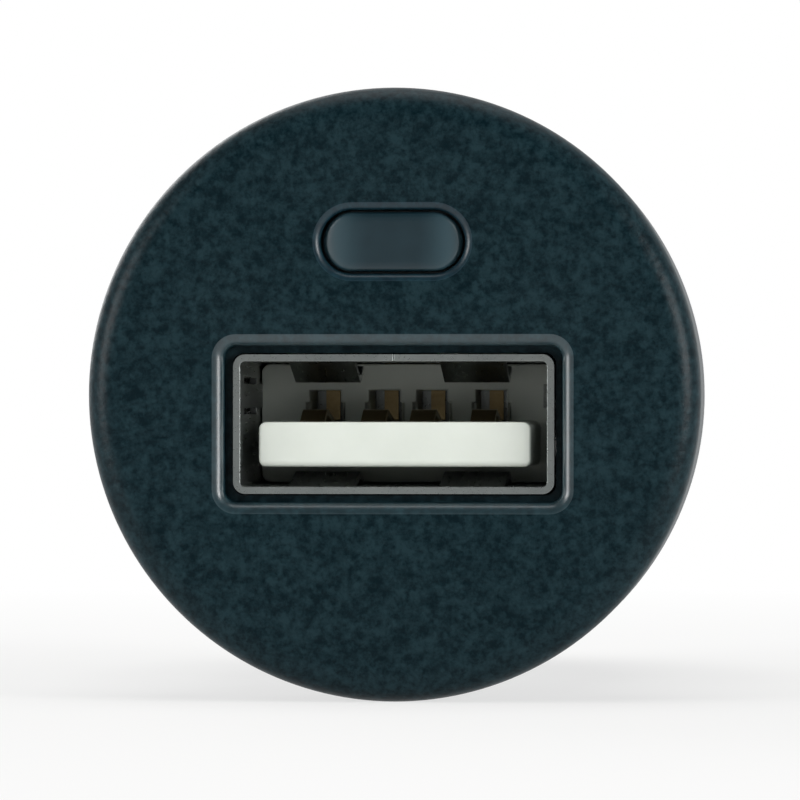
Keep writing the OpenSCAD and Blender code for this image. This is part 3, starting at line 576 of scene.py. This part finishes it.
tongue = bmesh.new()
block(tongue, TONGUE["x"], TONGUE["y"], TONGUE["z"])
low_front = [edge for edge in edges_along(tongue, 0) if all(
    vert.co.y < TONGUE["y"][0] + NEAR and vert.co.z < TONGUE["z"][0] + NEAR for vert in edge.verts)]
round_edges(tongue, edges_along(tongue, 1) + low_front, TONGUE_ROUND, segments=6)
back = bmesh.new()
block(back, BACK_BLOCK["x"], BACK_BLOCK["y"], BACK_BLOCK["z"])
round_edges(back, edges_along(back, 1), BACK_ROUND, segments=6)
insulator = worked(back, "BOOLEAN", tongue, operation="UNION")
for room in (PIN_SLOT, PIN_POCKET):
    pockets = bmesh.new()
    for x in PIN_X:
        block(pockets, (x - room["half"], x + room["half"]), room["y"], room["z"])
    insulator = worked(insulator, "BOOLEAN", pockets, operation="DIFFERENCE")
make_piece("moulded_insulator", insulator, "housing", [white_pbt], ["usb_insulator"],
           edge=0.07)

# Receptacle contacts
# Four contacts are stamped and bent from phosphor bronze strip and plated with gold. Each
# lies in its slot, rises to a sprung crest above the tongue, and turns up into the board.
PIN_W = 1.0
PIN_T = 0.25
PIN_BEND = 0.25
PIN_CREST = 0.5
PIN_LEG_W = 0.6
PIN_LEG_BEND = 0.2
PIN_LEG_LAP = 0.3
PIN_LEG_Y = 5.75
PIN_Z = TONGUE["z"][1] - PIN_T / 2
PIN_CREST_Z = PIN_Z + PIN_CREST
PIN_PATH = (
    (-5.8, PIN_Z), (-5.1, PIN_Z), (-3.7, PIN_CREST_Z), (-3.1, PIN_CREST_Z),
    (0.7, PIN_Z), (PIN_LEG_Y, PIN_Z),
)


def sheet_along(bm, width, path, put):
    # A strip of sheet drawn along a path: put turns a point of it, and how far across the strip
    # it lies, into a place on the plug. Gives back the edges to bend.
    half = width / 2
    ends = [bm.verts.new(put(side * half, *path[0])) for side in (-1, 1)]
    strip = [bm.edges.new(ends)]
    bends = []
    for near, far in zip(path, path[1:]):
        strip, verts = drawn_out(bm, strip)
        bmesh.ops.translate(bm, vec=Vector(put(0, *far)) - Vector(put(0, *near)), verts=verts)
        bends.append(strip[0])
    return bends[:-1]


# Gold over bronze: a warm, smooth metal with marks from the stamping tool, drawn at 0.15 mm
# so that they show.
gold_plate, tree, place, shader = start_material("gold-plated bronze, stamped", {"Metallic": 1.0})
marks = add_node(tree, "ShaderNodeTexNoise", {"Vector": place, "Scale": per_metre(0.15), "Detail": 4.0})
gilt = add_node(tree, "ShaderNodeMix",
                {0: marks.outputs["Fac"], DARK: linear("#A08A60"), LIGHT: linear("#B8A47C")},
                data_type="RGBA")
shine = add_node(tree, "ShaderNodeMapRange",
                 {"Value": marks.outputs["Fac"], "To Min": 0.26, "To Max": 0.34})
tree.links.new(gilt.outputs[MIXED], shader.inputs["Base Color"])
tree.links.new(shine.outputs["Result"], shader.inputs["Roughness"])

for number, x in enumerate(PIN_X, 1):
    contact = bmesh.new()
    bends = sheet_along(contact, PIN_W, PIN_PATH, lambda across, y, z: (x + across, y, z))
    round_edges(contact, bends, PIN_BEND, segments=4)
    leg = bmesh.new()
    leg_path = ((PIN_LEG_Y - PIN_LEG_LAP, PIN_Z), (PIN_LEG_Y, PIN_Z), (PIN_LEG_Y, LEG_TOP_Z))
    bends = sheet_along(leg, PIN_LEG_W, leg_path, lambda across, y, z: (x + across, y, z))
    round_edges(leg, bends, PIN_LEG_BEND, segments=4)
    pair = [worked(form, "SOLIDIFY", thickness=PIN_T, offset=0) for form in (contact, leg)]
    contact = worked(pair[0], "BOOLEAN", pair[1], operation="UNION")
    make_piece(f"formed_contact_{number}", contact, "housing", [gold_plate],
               [f"usb_contact_{number}"], edge=0.03)

# Circuit board and its parts
# A 1.2 mm glass-epoxy board lies on the receptacle and in the barrel's rails. It carries the
# converter chip, the inductor, the diodes, the fuse and the small chip parts on top, and the
# two electrolytic capacitors underneath. The frame's own pieces are kept and given finishes.


def pigment_finish(name, dark, light, grain_mm, rough, sockets):
    # A finish of two close colours in a grain of a given size, with its shine varied with it
    material, tree, place, shader = start_material(name, sockets)
    grain = add_node(tree, "ShaderNodeTexNoise",
                     {"Vector": place, "Scale": per_metre(grain_mm), "Detail": 4.0, "Roughness": 0.6})
    mixed = add_node(tree, "ShaderNodeMix",
                     {0: grain.outputs["Fac"], DARK: linear(dark), LIGHT: linear(light)},
                     data_type="RGBA")
    gloss = add_node(tree, "ShaderNodeMapRange",
                     {"Value": grain.outputs["Fac"], "To Min": rough[0], "To Max": rough[1]})
    relief = add_node(tree, "ShaderNodeBump",
                      {"Height": grain.outputs["Fac"], "Strength": 0.25, "Distance": 0.01 * MM})
    tree.links.new(mixed.outputs[MIXED], shader.inputs["Base Color"])
    tree.links.new(gloss.outputs["Result"], shader.inputs["Roughness"])
    tree.links.new(relief.outputs["Normal"], shader.inputs["Normal"])
    return material


# Each finish: solder mask over woven glass, epoxy moulding compound with its silica grain,
# sintered ferrite, enamelled wire, shrink sleeve, fired and glazed ceramic, the clear epoxy of
# the diode and nickel-plated steel.
board_finishes = {
    "green solder mask on glass epoxy": (
        ["circuit_board"], "#0F4A28", "#1B6A3A", 0.5, (0.28, 0.4), {"IOR": 1.55}),
    "epoxy moulding compound": (
        ["converter_chip", "rectifier_diode"], "#141416", "#242427", 0.12, (0.5, 0.7), {"IOR": 1.55}),
    "sintered ferrite": (
        ["inductor_core"], "#26262A", "#3B3B40", 0.2, (0.5, 0.7), {"IOR": 2.0}),
    "enamelled copper wire": (
        ["inductor_coil"], "#8A3F18", "#C26A30", 0.3, (0.2, 0.32), {"Metallic": 1.0}),
    "shrink sleeve over aluminium": (
        ["input_capacitor", "output_capacitor"], "#1C2338", "#2C3652", 0.6, (0.3, 0.42), {"IOR": 1.52}),
    "fired ceramic chip": (
        ["ceramic_capacitor_1", "ceramic_capacitor_2"],
        "#7E6242", "#9C7C56", 0.1, (0.4, 0.55), {"IOR": 1.7}),
    "glazed resistor chip": (
        ["resistor_1", "resistor_2", "resistor_3"], "#161618", "#2A2A2D", 0.1, (0.25, 0.4), {"IOR": 1.6}),
    "white ceramic fuse": (
        ["fuse"], "#C9C8BC", "#DEDDD2", 0.15, (0.35, 0.5), {"IOR": 1.6}),
    "clear epoxy, cast": (
        ["indicator_led"],
        "#DCE6EA", "#EEF4F6", 0.8, (0.04, 0.09), {"IOR": 1.5, "Transmission Weight": 0.9}),
    "nickel-plated steel, stamped": (
        ["spring_seat"], "#A8A49B", "#C4C0B7", 0.25, (0.22, 0.36), {"Metallic": 1.0}),
}
for name, (nodes, *finish) in board_finishes.items():
    material = pigment_finish(name, *finish)
    for node in nodes:
        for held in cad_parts[node].material_slots:
            held.material = material

# Barrel
# The body is moulded in black ABS with a satin skin, with the flange that stops the plug at
# the socket's rim, a slight taper, two slots for the side contacts, four inner rails for the
# board and a spigot at the far end for the nose ring.
FLANGE_CHAMFER = 0.2
COLLAR_R = 10.65
COLLAR_BEAD = 0.25
BARREL_R = 10.4
BARREL_END_R = 9.9
BARREL_LEAD_Y = 7.0
BARREL_END_Y = 29.0
BARREL_ROUND = 0.8
BORE_R = 9.3
BORE_END_Y = 27.6
SPIGOT_R = 7.6
SPIGOT_BORE_R = 6.4
SPIGOT_END_Y = 32.2
SLOT = {"x": (8.2, 11.5), "y": (7.6, 25.6), "z": (-2.5, 2.5), "corner": 0.6}
RAIL = {"x": (7.25, 9.0), "y": (-5.6, 3.1), "z": (0.85, 2.95), "height": 0.8}

# The barrel's tool is eroded much finer than the cap's, so that the plug slides into its
# socket, and its satin skin shines a little more.
satin_abs = moulded_abs("black ABS, satin", "#04181D", "#172D34", 0.3, (0.32, 0.42), 0.16)

barrel = bmesh.new()
lathe(barrel, [
    (COLLAR_R, FACE_BACK_Y), (COLLAR_R, BEAD_Y - COLLAR_BEAD), (COLLAR_R + COLLAR_BEAD, BEAD_Y),
    (COLLAR_R, BEAD_Y + COLLAR_BEAD), (COLLAR_R, SEAM_Y), (HEAD_R, SEAM_Y), (HEAD_R, 0),
    (BARREL_R, 0), (BARREL_R, BARREL_LEAD_Y), (BARREL_END_R, BARREL_END_Y),
    (SPIGOT_R, BARREL_END_Y), (SPIGOT_R, SPIGOT_END_Y), (SPIGOT_BORE_R, SPIGOT_END_Y),
    (SPIGOT_BORE_R, BORE_END_Y), (BORE_R, BORE_END_Y), (BORE_R, FACE_BACK_Y),
], closed=True)
round_edges(barrel, turned_edges(barrel, HEAD_R, SEAM_Y), FLANGE_CHAMFER, segments=1)
round_edges(barrel, turned_edges(barrel, HEAD_R, 0), FLANGE_CHAMFER, segments=3)
round_edges(barrel, turned_edges(barrel, BARREL_END_R, BARREL_END_Y), BARREL_ROUND, segments=8)
slots = bmesh.new()
for side in (-1, 1):
    block(slots, sorted(side * x for x in SLOT["x"]), SLOT["y"], SLOT["z"])
round_edges(slots, edges_along(slots, 0), SLOT["corner"], segments=6)
barrel = worked(barrel, "BOOLEAN", slots, operation="DIFFERENCE")
for side in (-1, 1):
    for z in RAIL["z"]:
        block(barrel, sorted(side * x for x in RAIL["x"]), RAIL["y"], (z, z + RAIL["height"]))
make_piece("moulded_barrel", barrel, "housing", [satin_abs], ["barrel"], edge=0.09)

# Nose ring
# A ring of the same satin ABS that screws onto the barrel's spigot and holds the tip in. Twenty
# small grooves round its band give the fingers a hold, and its front rolls over to the tip.
NOSE_R = 9.5
NOSE_BAND_Y = 31.2
NOSE_END_Y = 34.4
NOSE_ROUND = 3.2
NOSE_HOLE_R = 3.85
NOSE_HOLE_ROUND = 0.2
NOSE_SEAM_ROUND = 0.12
NOSE_WALL_Y = 32.25
NOSE_THREAD_R = 7.65
GROOVES = 20
GROOVE_R = 0.45
GROOVE_LEN = 3.2

nose = bmesh.new()
lathe(nose, [
    (NOSE_R, BARREL_END_Y), (NOSE_R, NOSE_END_Y), (NOSE_HOLE_R, NOSE_END_Y), (NOSE_HOLE_R, NOSE_WALL_Y),
    (NOSE_THREAD_R, NOSE_WALL_Y), (NOSE_THREAD_R, BARREL_END_Y),
], closed=True)
round_edges(nose, turned_edges(nose, NOSE_R, NOSE_END_Y), NOSE_ROUND, segments=16)
round_edges(nose, turned_edges(nose, NOSE_HOLE_R, NOSE_END_Y), NOSE_HOLE_ROUND, segments=4)
round_edges(nose, turned_edges(nose, NOSE_R, BARREL_END_Y), NOSE_SEAM_ROUND, segments=3)
grooves = bmesh.new()
along_plug = Matrix.Rotation(math.radians(90), 3, "X")
for number in range(GROOVES):
    rod = bmesh.ops.create_cone(grooves, cap_ends=True, segments=24, radius1=GROOVE_R, radius2=GROOVE_R,
                                depth=GROOVE_LEN)["verts"]
    bmesh.ops.rotate(grooves, cent=(0, 0, 0), matrix=along_plug, verts=rod)
    bmesh.ops.translate(grooves, vec=(NOSE_R + GROOVE_R / 3, NOSE_BAND_Y - GROOVE_LEN / 2, 0), verts=rod)
    bmesh.ops.rotate(grooves, cent=(0, 0, 0), matrix=Matrix.Rotation(math.tau * number / GROOVES, 3, "Y"),
                     verts=rod)
nose = worked(nose, "BOOLEAN", grooves, operation="DIFFERENCE")
make_piece("moulded_nose_ring", nose, "housing", [satin_abs], ["nose_ring"],
           crease=32, edge=0.06)

# Sprung tip
# The centre contact is turned from brass, bored out for its spring and plated with nickel. A
# collar inside the nose ring keeps it in, and a coil spring pushes it against that ring.
TIP_R = 3.7
TIP_END_Y = 39.0
TIP_ROUND = 1.6
TIP_BORE_R = 3.0
TIP_BORE_Y = 38.0
TIP_COLLAR_R = 6.0
TIP_COLLAR_Y = (31.0, 32.2)

# Nickel-plated brass, turned: bright, a little warm, with rings from the tool on the end and
# round the side. Real rings are about 0.1 mm apart and are drawn at 0.9 mm, so that they show.
nickel_brass, tree, place, shader = start_material("nickel-plated brass, turned", {"Metallic": 1.0})
rings = add_node(tree, "ShaderNodeTexWave",
                 {"Vector": place, "Scale": per_metre(0.9), "Distortion": 0.6, "Detail": 2.0},
                 wave_type="RINGS", rings_direction="Y")
bands = add_node(tree, "ShaderNodeTexWave",
                 {"Vector": place, "Scale": per_metre(0.9), "Distortion": 0.8, "Detail": 2.0},
                 wave_type="BANDS", bands_direction="Y")
tooling = add_node(tree, "ShaderNodeMath",
                   {0: rings.outputs["Fac"], 1: bands.outputs["Fac"]}, operation="ADD")
stain = add_node(tree, "ShaderNodeTexNoise", {"Vector": place, "Scale": per_metre(1.5), "Detail": 4.0})
nickel = add_node(tree, "ShaderNodeMix",
                  {0: stain.outputs["Fac"], DARK: linear("#B5B0A4"), LIGHT: linear("#D2CEC4")},
                  data_type="RGBA")
polish = add_node(tree, "ShaderNodeMapRange",
                  {"Value": stain.outputs["Fac"], "To Min": 0.16, "To Max": 0.32})
bump = add_node(tree, "ShaderNodeBump",
                {"Height": tooling.outputs["Value"], "Strength": 0.12, "Distance": 0.01 * MM})
tree.links.new(nickel.outputs[MIXED], shader.inputs["Base Color"])
tree.links.new(polish.outputs["Result"], shader.inputs["Roughness"])
tree.links.new(bump.outputs["Normal"], shader.inputs["Normal"])

tip = bmesh.new()
lathe(tip, [
    (0, TIP_END_Y), (TIP_R, TIP_END_Y), (TIP_R, TIP_COLLAR_Y[1]), (TIP_COLLAR_R, TIP_COLLAR_Y[1]),
    (TIP_COLLAR_R, TIP_COLLAR_Y[0]), (TIP_BORE_R, TIP_COLLAR_Y[0]), (TIP_BORE_R, TIP_BORE_Y),
    (0, TIP_BORE_Y),
], steps=128)
round_edges(tip, turned_edges(tip, TIP_R, TIP_END_Y), TIP_ROUND, segments=12)
make_piece("turned_tip", tip, "tip", [nickel_brass], ["tip_contact"])

# Tip spring
# A compression spring of 0.5 mm spring-steel wire, with nine turns of which the first and the
# last lie close. It stands on the seat at the board's end and is squeezed as the tip goes in.
WIRE_R = 0.25
WIRE_SIDES = 12
COIL_R = 2.6
SPRING_Y = (23.1, 38.0)
CLOSE_PITCH = 0.525
OPEN_TURNS = 7
COIL_STEPS = 24

# Spring steel, drawn and tempered: grey and smooth, with draw lines along the wire. The real
# lines are too fine to show and are drawn at 0.12 mm.
spring_steel, tree, place, shader = start_material("spring steel, tempered", {"Metallic": 1.0})
temper = add_node(tree, "ShaderNodeTexNoise", {"Vector": place, "Scale": per_metre(1.1), "Detail": 4.0})
drawn = add_node(tree, "ShaderNodeMapping", {"Vector": place, "Scale": (1.0, 0.05, 1.0)})
draw_lines = add_node(tree, "ShaderNodeTexNoise",
                      {"Vector": drawn.outputs["Vector"], "Scale": per_metre(0.12), "Detail": 4.0})
steel = add_node(tree, "ShaderNodeMix",
                 {0: temper.outputs["Fac"], DARK: linear("#A9ABAC"), LIGHT: linear("#C9CAC9")},
                 data_type="RGBA")
gloss = add_node(tree, "ShaderNodeMapRange",
                 {"Value": draw_lines.outputs["Fac"], "To Min": 0.18, "To Max": 0.38})
bump = add_node(tree, "ShaderNodeBump",
                {"Height": draw_lines.outputs["Fac"], "Strength": 0.18, "Distance": 0.01 * MM})
tree.links.new(steel.outputs[MIXED], shader.inputs["Base Color"])
tree.links.new(gloss.outputs["Result"], shader.inputs["Roughness"])
tree.links.new(bump.outputs["Normal"], shader.inputs["Normal"])

spring = bmesh.new()
open_pitch = (SPRING_Y[1] - SPRING_Y[0] - 2 * WIRE_R - 2 * CLOSE_PITCH) / OPEN_TURNS
wire = bmesh.ops.create_circle(spring, cap_ends=True, segments=WIRE_SIDES, radius=WIRE_R)["verts"]
bmesh.ops.translate(spring, vec=(COIL_R, SPRING_Y[0] + WIRE_R, 0), verts=wire)
section = spring.verts[:] + spring.edges[:] + spring.faces[:]
for turns, pitch in ((1, CLOSE_PITCH), (OPEN_TURNS, open_pitch), (1, CLOSE_PITCH)):
    section = bmesh.ops.spin(spring, geom=section, cent=(0, 0, 0), axis=(0, 1, 0),
                             dvec=(0, pitch / COIL_STEPS, 0), angle=math.tau * turns,
                             steps=COIL_STEPS * turns)["geom_last"]
coil = make_piece("tip_coil_spring", spring, "housing", [spring_steel], ["tip_spring"])
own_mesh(coil)

# Side contacts
# Two strips of tempered spring steel, bent into bows. Each is held by its front foot inside
# the barrel, stands out through its slot to touch the socket's wall, and slides on its rear
# foot when it is pressed in.
STRIP_W = 4.4
STRIP_T = 0.4
FOOT_X = 8.786
FOOT_Y = (3.8, 7.4)
BOW_BEND = 4.0
BOW_LEN = 18.4
CROWN_X = 11.3
TOE_LEN = 1.3
BEND_STEPS = 12
CROWN_STEPS = 40
bow_angle = 2 * math.atan((CROWN_X - FOOT_X) / (BOW_LEN / 2))
crown_bend = BOW_LEN / 2 / math.sin(bow_angle) - BOW_BEND

for side, hand in ((1, "right"), (-1, "left")):
    bow = bmesh.new()
    ends = [bow.verts.new((FOOT_X, FOOT_Y[0], across * STRIP_W / 2)) for across in (-1, 1)]
    strip = [*ends, bow.edges.new(ends)]
    for centre, turn, steps, slide in (
        (None, 0, 1, FOOT_Y[1] - FOOT_Y[0]),
        ((FOOT_X + BOW_BEND, FOOT_Y[1], 0), -bow_angle, BEND_STEPS, 0),
        ((CROWN_X - crown_bend, FOOT_Y[1] + BOW_LEN / 2, 0), 2 * bow_angle, CROWN_STEPS, 0),
        ((FOOT_X + BOW_BEND, FOOT_Y[1] + BOW_LEN, 0), -bow_angle, BEND_STEPS, 0),
        (None, 0, 1, TOE_LEN),
    ):
        strip = bmesh.ops.spin(bow, geom=strip, cent=centre or (0, 0, 0), axis=(0, 0, 1),
                               dvec=(0, slide / steps, 0), angle=turn, steps=steps)["geom_last"]
    bow = worked(bow, "SOLIDIFY", thickness=STRIP_T, offset=0)
    bmesh.ops.scale(bow, vec=(side, 1, 1), verts=bow.verts)
    make_piece(f"sprung_bow_{hand}", bow, f"{hand}_contact", [spring_steel],
               [f"side_contact_{hand}"], edge=0.07)

# Studio
# A plain pale floor under the plug and a white surround, as on a product page. The floor
# stays paper white to the camera and in reflections but keeps the plug's soft shadow.
FLOOR_SIZE = 3.0
SHADE_R = 0.03
WHITE_R = 0.14
NEAR_WHITENESS = 0.68
floor_mesh = bmesh.new()
bmesh.ops.create_grid(floor_mesh, x_segments=1, y_segments=1, size=FLOOR_SIZE / 2)
bmesh.ops.translate(floor_mesh, vec=(0, 0, cad_low.z), verts=floor_mesh.verts)
mesh = bpy.data.meshes.new("pale_floor")
floor_mesh.to_mesh(mesh)
floor_mesh.free()
floor = bpy.data.objects.new("pale_floor", mesh)
bpy.context.scene.collection.objects.link(floor)


def kinds_of_ray(tree):
    # Two outputs that are 1 for a ray from the camera, and for one off metal or through glass
    path = add_node(tree, "ShaderNodeLightPath")
    mirrored = add_node(tree, "ShaderNodeMath",
                        {0: path.outputs["Is Glossy Ray"], 1: path.outputs["Is Transmission Ray"]},
                        operation="MAXIMUM")
    return path.outputs["Is Camera Ray"], mirrored.outputs["Value"]


# White paper that is lit and shaded as paper is. The camera, metal and glass see part of it as
# plain white: two thirds near the plug, so that its shadow shows, and all of it further out.
pale_floor = bpy.data.materials.new("pale paper floor")
pale_floor.use_nodes = True
tree = pale_floor.node_tree
tree.nodes.clear()
place = add_node(tree, "ShaderNodeTexCoord").outputs["Object"]
away = add_node(tree, "ShaderNodeVectorMath", {0: place}, operation="LENGTH")
whiteness = add_node(tree, "ShaderNodeMapRange",
                     {"Value": away.outputs["Value"], "From Min": SHADE_R, "From Max": WHITE_R,
                      "To Min": NEAR_WHITENESS, "To Max": 1.0})
camera_ray, mirror_ray = kinds_of_ray(tree)
seen = add_node(tree, "ShaderNodeMath", {0: camera_ray, 1: mirror_ray}, operation="MAXIMUM")
share = add_node(tree, "ShaderNodeMath",
                 {0: seen.outputs["Value"], 1: whiteness.outputs["Result"]}, operation="MULTIPLY")
paper = add_node(tree, "ShaderNodeBsdfDiffuse", {"Color": linear("#F4F4F2")})
white = add_node(tree, "ShaderNodeEmission", {"Color": (1, 1, 1, 1), "Strength": 1.0})
both = add_node(tree, "ShaderNodeMixShader",
                {0: share.outputs["Value"], 1: paper.outputs["BSDF"], 2: white.outputs["Emission"]})
add_node(tree, "ShaderNodeOutputMaterial", {"Surface": both.outputs["Shader"]})
mesh.materials.append(pale_floor)

# The surround: white panels on all sides of the plug and dim at both of its ends, so that the
# edges shine and the face stays dark. The camera always sees it white, and so do metal and
# glass where they show the backdrop behind the plug.
SURROUND_SIDES = 0.3
SURROUND_ENDS = 0.07
SIDES_UP_TO = 0.2
ENDS_FROM = 0.9
BACKDROP_FROM = 0.5
world = bpy.data.worlds.new("studio")
bpy.context.scene.world = world
world.use_nodes = True
tree = world.node_tree
tree.nodes.clear()
direction = add_node(tree, "ShaderNodeTexCoord").outputs["Generated"]
parts = add_node(tree, "ShaderNodeSeparateXYZ", {"Vector": direction})
endwards = add_node(tree, "ShaderNodeMath", {0: parts.outputs["Y"]}, operation="ABSOLUTE")
level = add_node(tree, "ShaderNodeMapRange",
                 {"Value": endwards.outputs["Value"], "From Min": SIDES_UP_TO, "From Max": ENDS_FROM,
                  "To Min": SURROUND_SIDES, "To Max": SURROUND_ENDS}, interpolation_type="SMOOTHSTEP")
backdrop = add_node(tree, "ShaderNodeMapRange",
                    {"Value": parts.outputs["Y"], "From Min": 0.0, "From Max": BACKDROP_FROM})
camera_ray, mirror_ray = kinds_of_ray(tree)
mirrored = add_node(tree, "ShaderNodeMath",
                    {0: mirror_ray, 1: backdrop.outputs["Result"]}, operation="MULTIPLY")
seen = add_node(tree, "ShaderNodeMath", {0: camera_ray, 1: mirrored.outputs["Value"]}, operation="MAXIMUM")
strength = add_node(tree, "ShaderNodeMath",
                    {0: level.outputs["Result"], 1: seen.outputs["Value"]}, operation="MAXIMUM")
background = add_node(tree, "ShaderNodeBackground",
                      {"Color": (1, 1, 1, 1), "Strength": strength.outputs["Value"]})
add_node(tree, "ShaderNodeOutputWorld", {"Surface": background.outputs["Background"]})

# Soft boxes: one on each side of the camera, one overhead and one low behind for the nose
for name, spot, size, power in (
    ("left soft box", (-0.27, -0.15, 0.05), 0.14, 0.6),
    ("right soft box", (0.28, -0.15, 0.05), 0.14, 0.84),
    ("overhead soft box", (0.0, 0.02, 0.36), 0.26, 0.5),
    ("rear soft box", (-0.16, 0.26, 0.12), 0.2, 0.3),
):
    data = bpy.data.lights.new(name, "AREA")
    data.shape = "SQUARE"
    data.size = size
    data.energy = power
    lamp = bpy.data.objects.new(name, data)
    lamp.location = spot
    lamp.rotation_euler = (-Vector(spot)).to_track_quat("-Z", "Y").to_euler()
    bpy.context.scene.collection.objects.link(lamp)

# The camera looks straight at the face from four degrees to the right, with a long lens
CAMERA_AZIMUTH = math.radians(4)
CAMERA_DISTANCE = 0.245
EDGE_Y = FACE_Y + FACE_ROUND
FRAME_WIDTH = 0.03257
AIM_RIGHT = 0.000235
AIM_DOWN = 0.000221
SENSOR_WIDTH = 36
camera_data = bpy.data.cameras.new("product camera")
camera_data.sensor_width = SENSOR_WIDTH
camera_data.lens = SENSOR_WIDTH * CAMERA_DISTANCE / FRAME_WIDTH
camera_data.clip_start = 0.01
camera_data.clip_end = 10
camera = bpy.data.objects.new("product camera", camera_data)
back_off = Vector((math.sin(CAMERA_AZIMUTH), -math.cos(CAMERA_AZIMUTH), 0))
to_right = Vector((math.cos(CAMERA_AZIMUTH), math.sin(CAMERA_AZIMUTH), 0))
aim = Vector((0, EDGE_Y * MM, 0)) + to_right * AIM_RIGHT - Vector((0, 0, AIM_DOWN))
camera.location = aim + back_off * CAMERA_DISTANCE
camera.rotation_euler = (-back_off).to_track_quat("-Z", "Y").to_euler()
bpy.context.scene.collection.objects.link(camera)
bpy.context.scene.camera = camera
bpy.context.scene.view_settings.view_transform = "Standard"
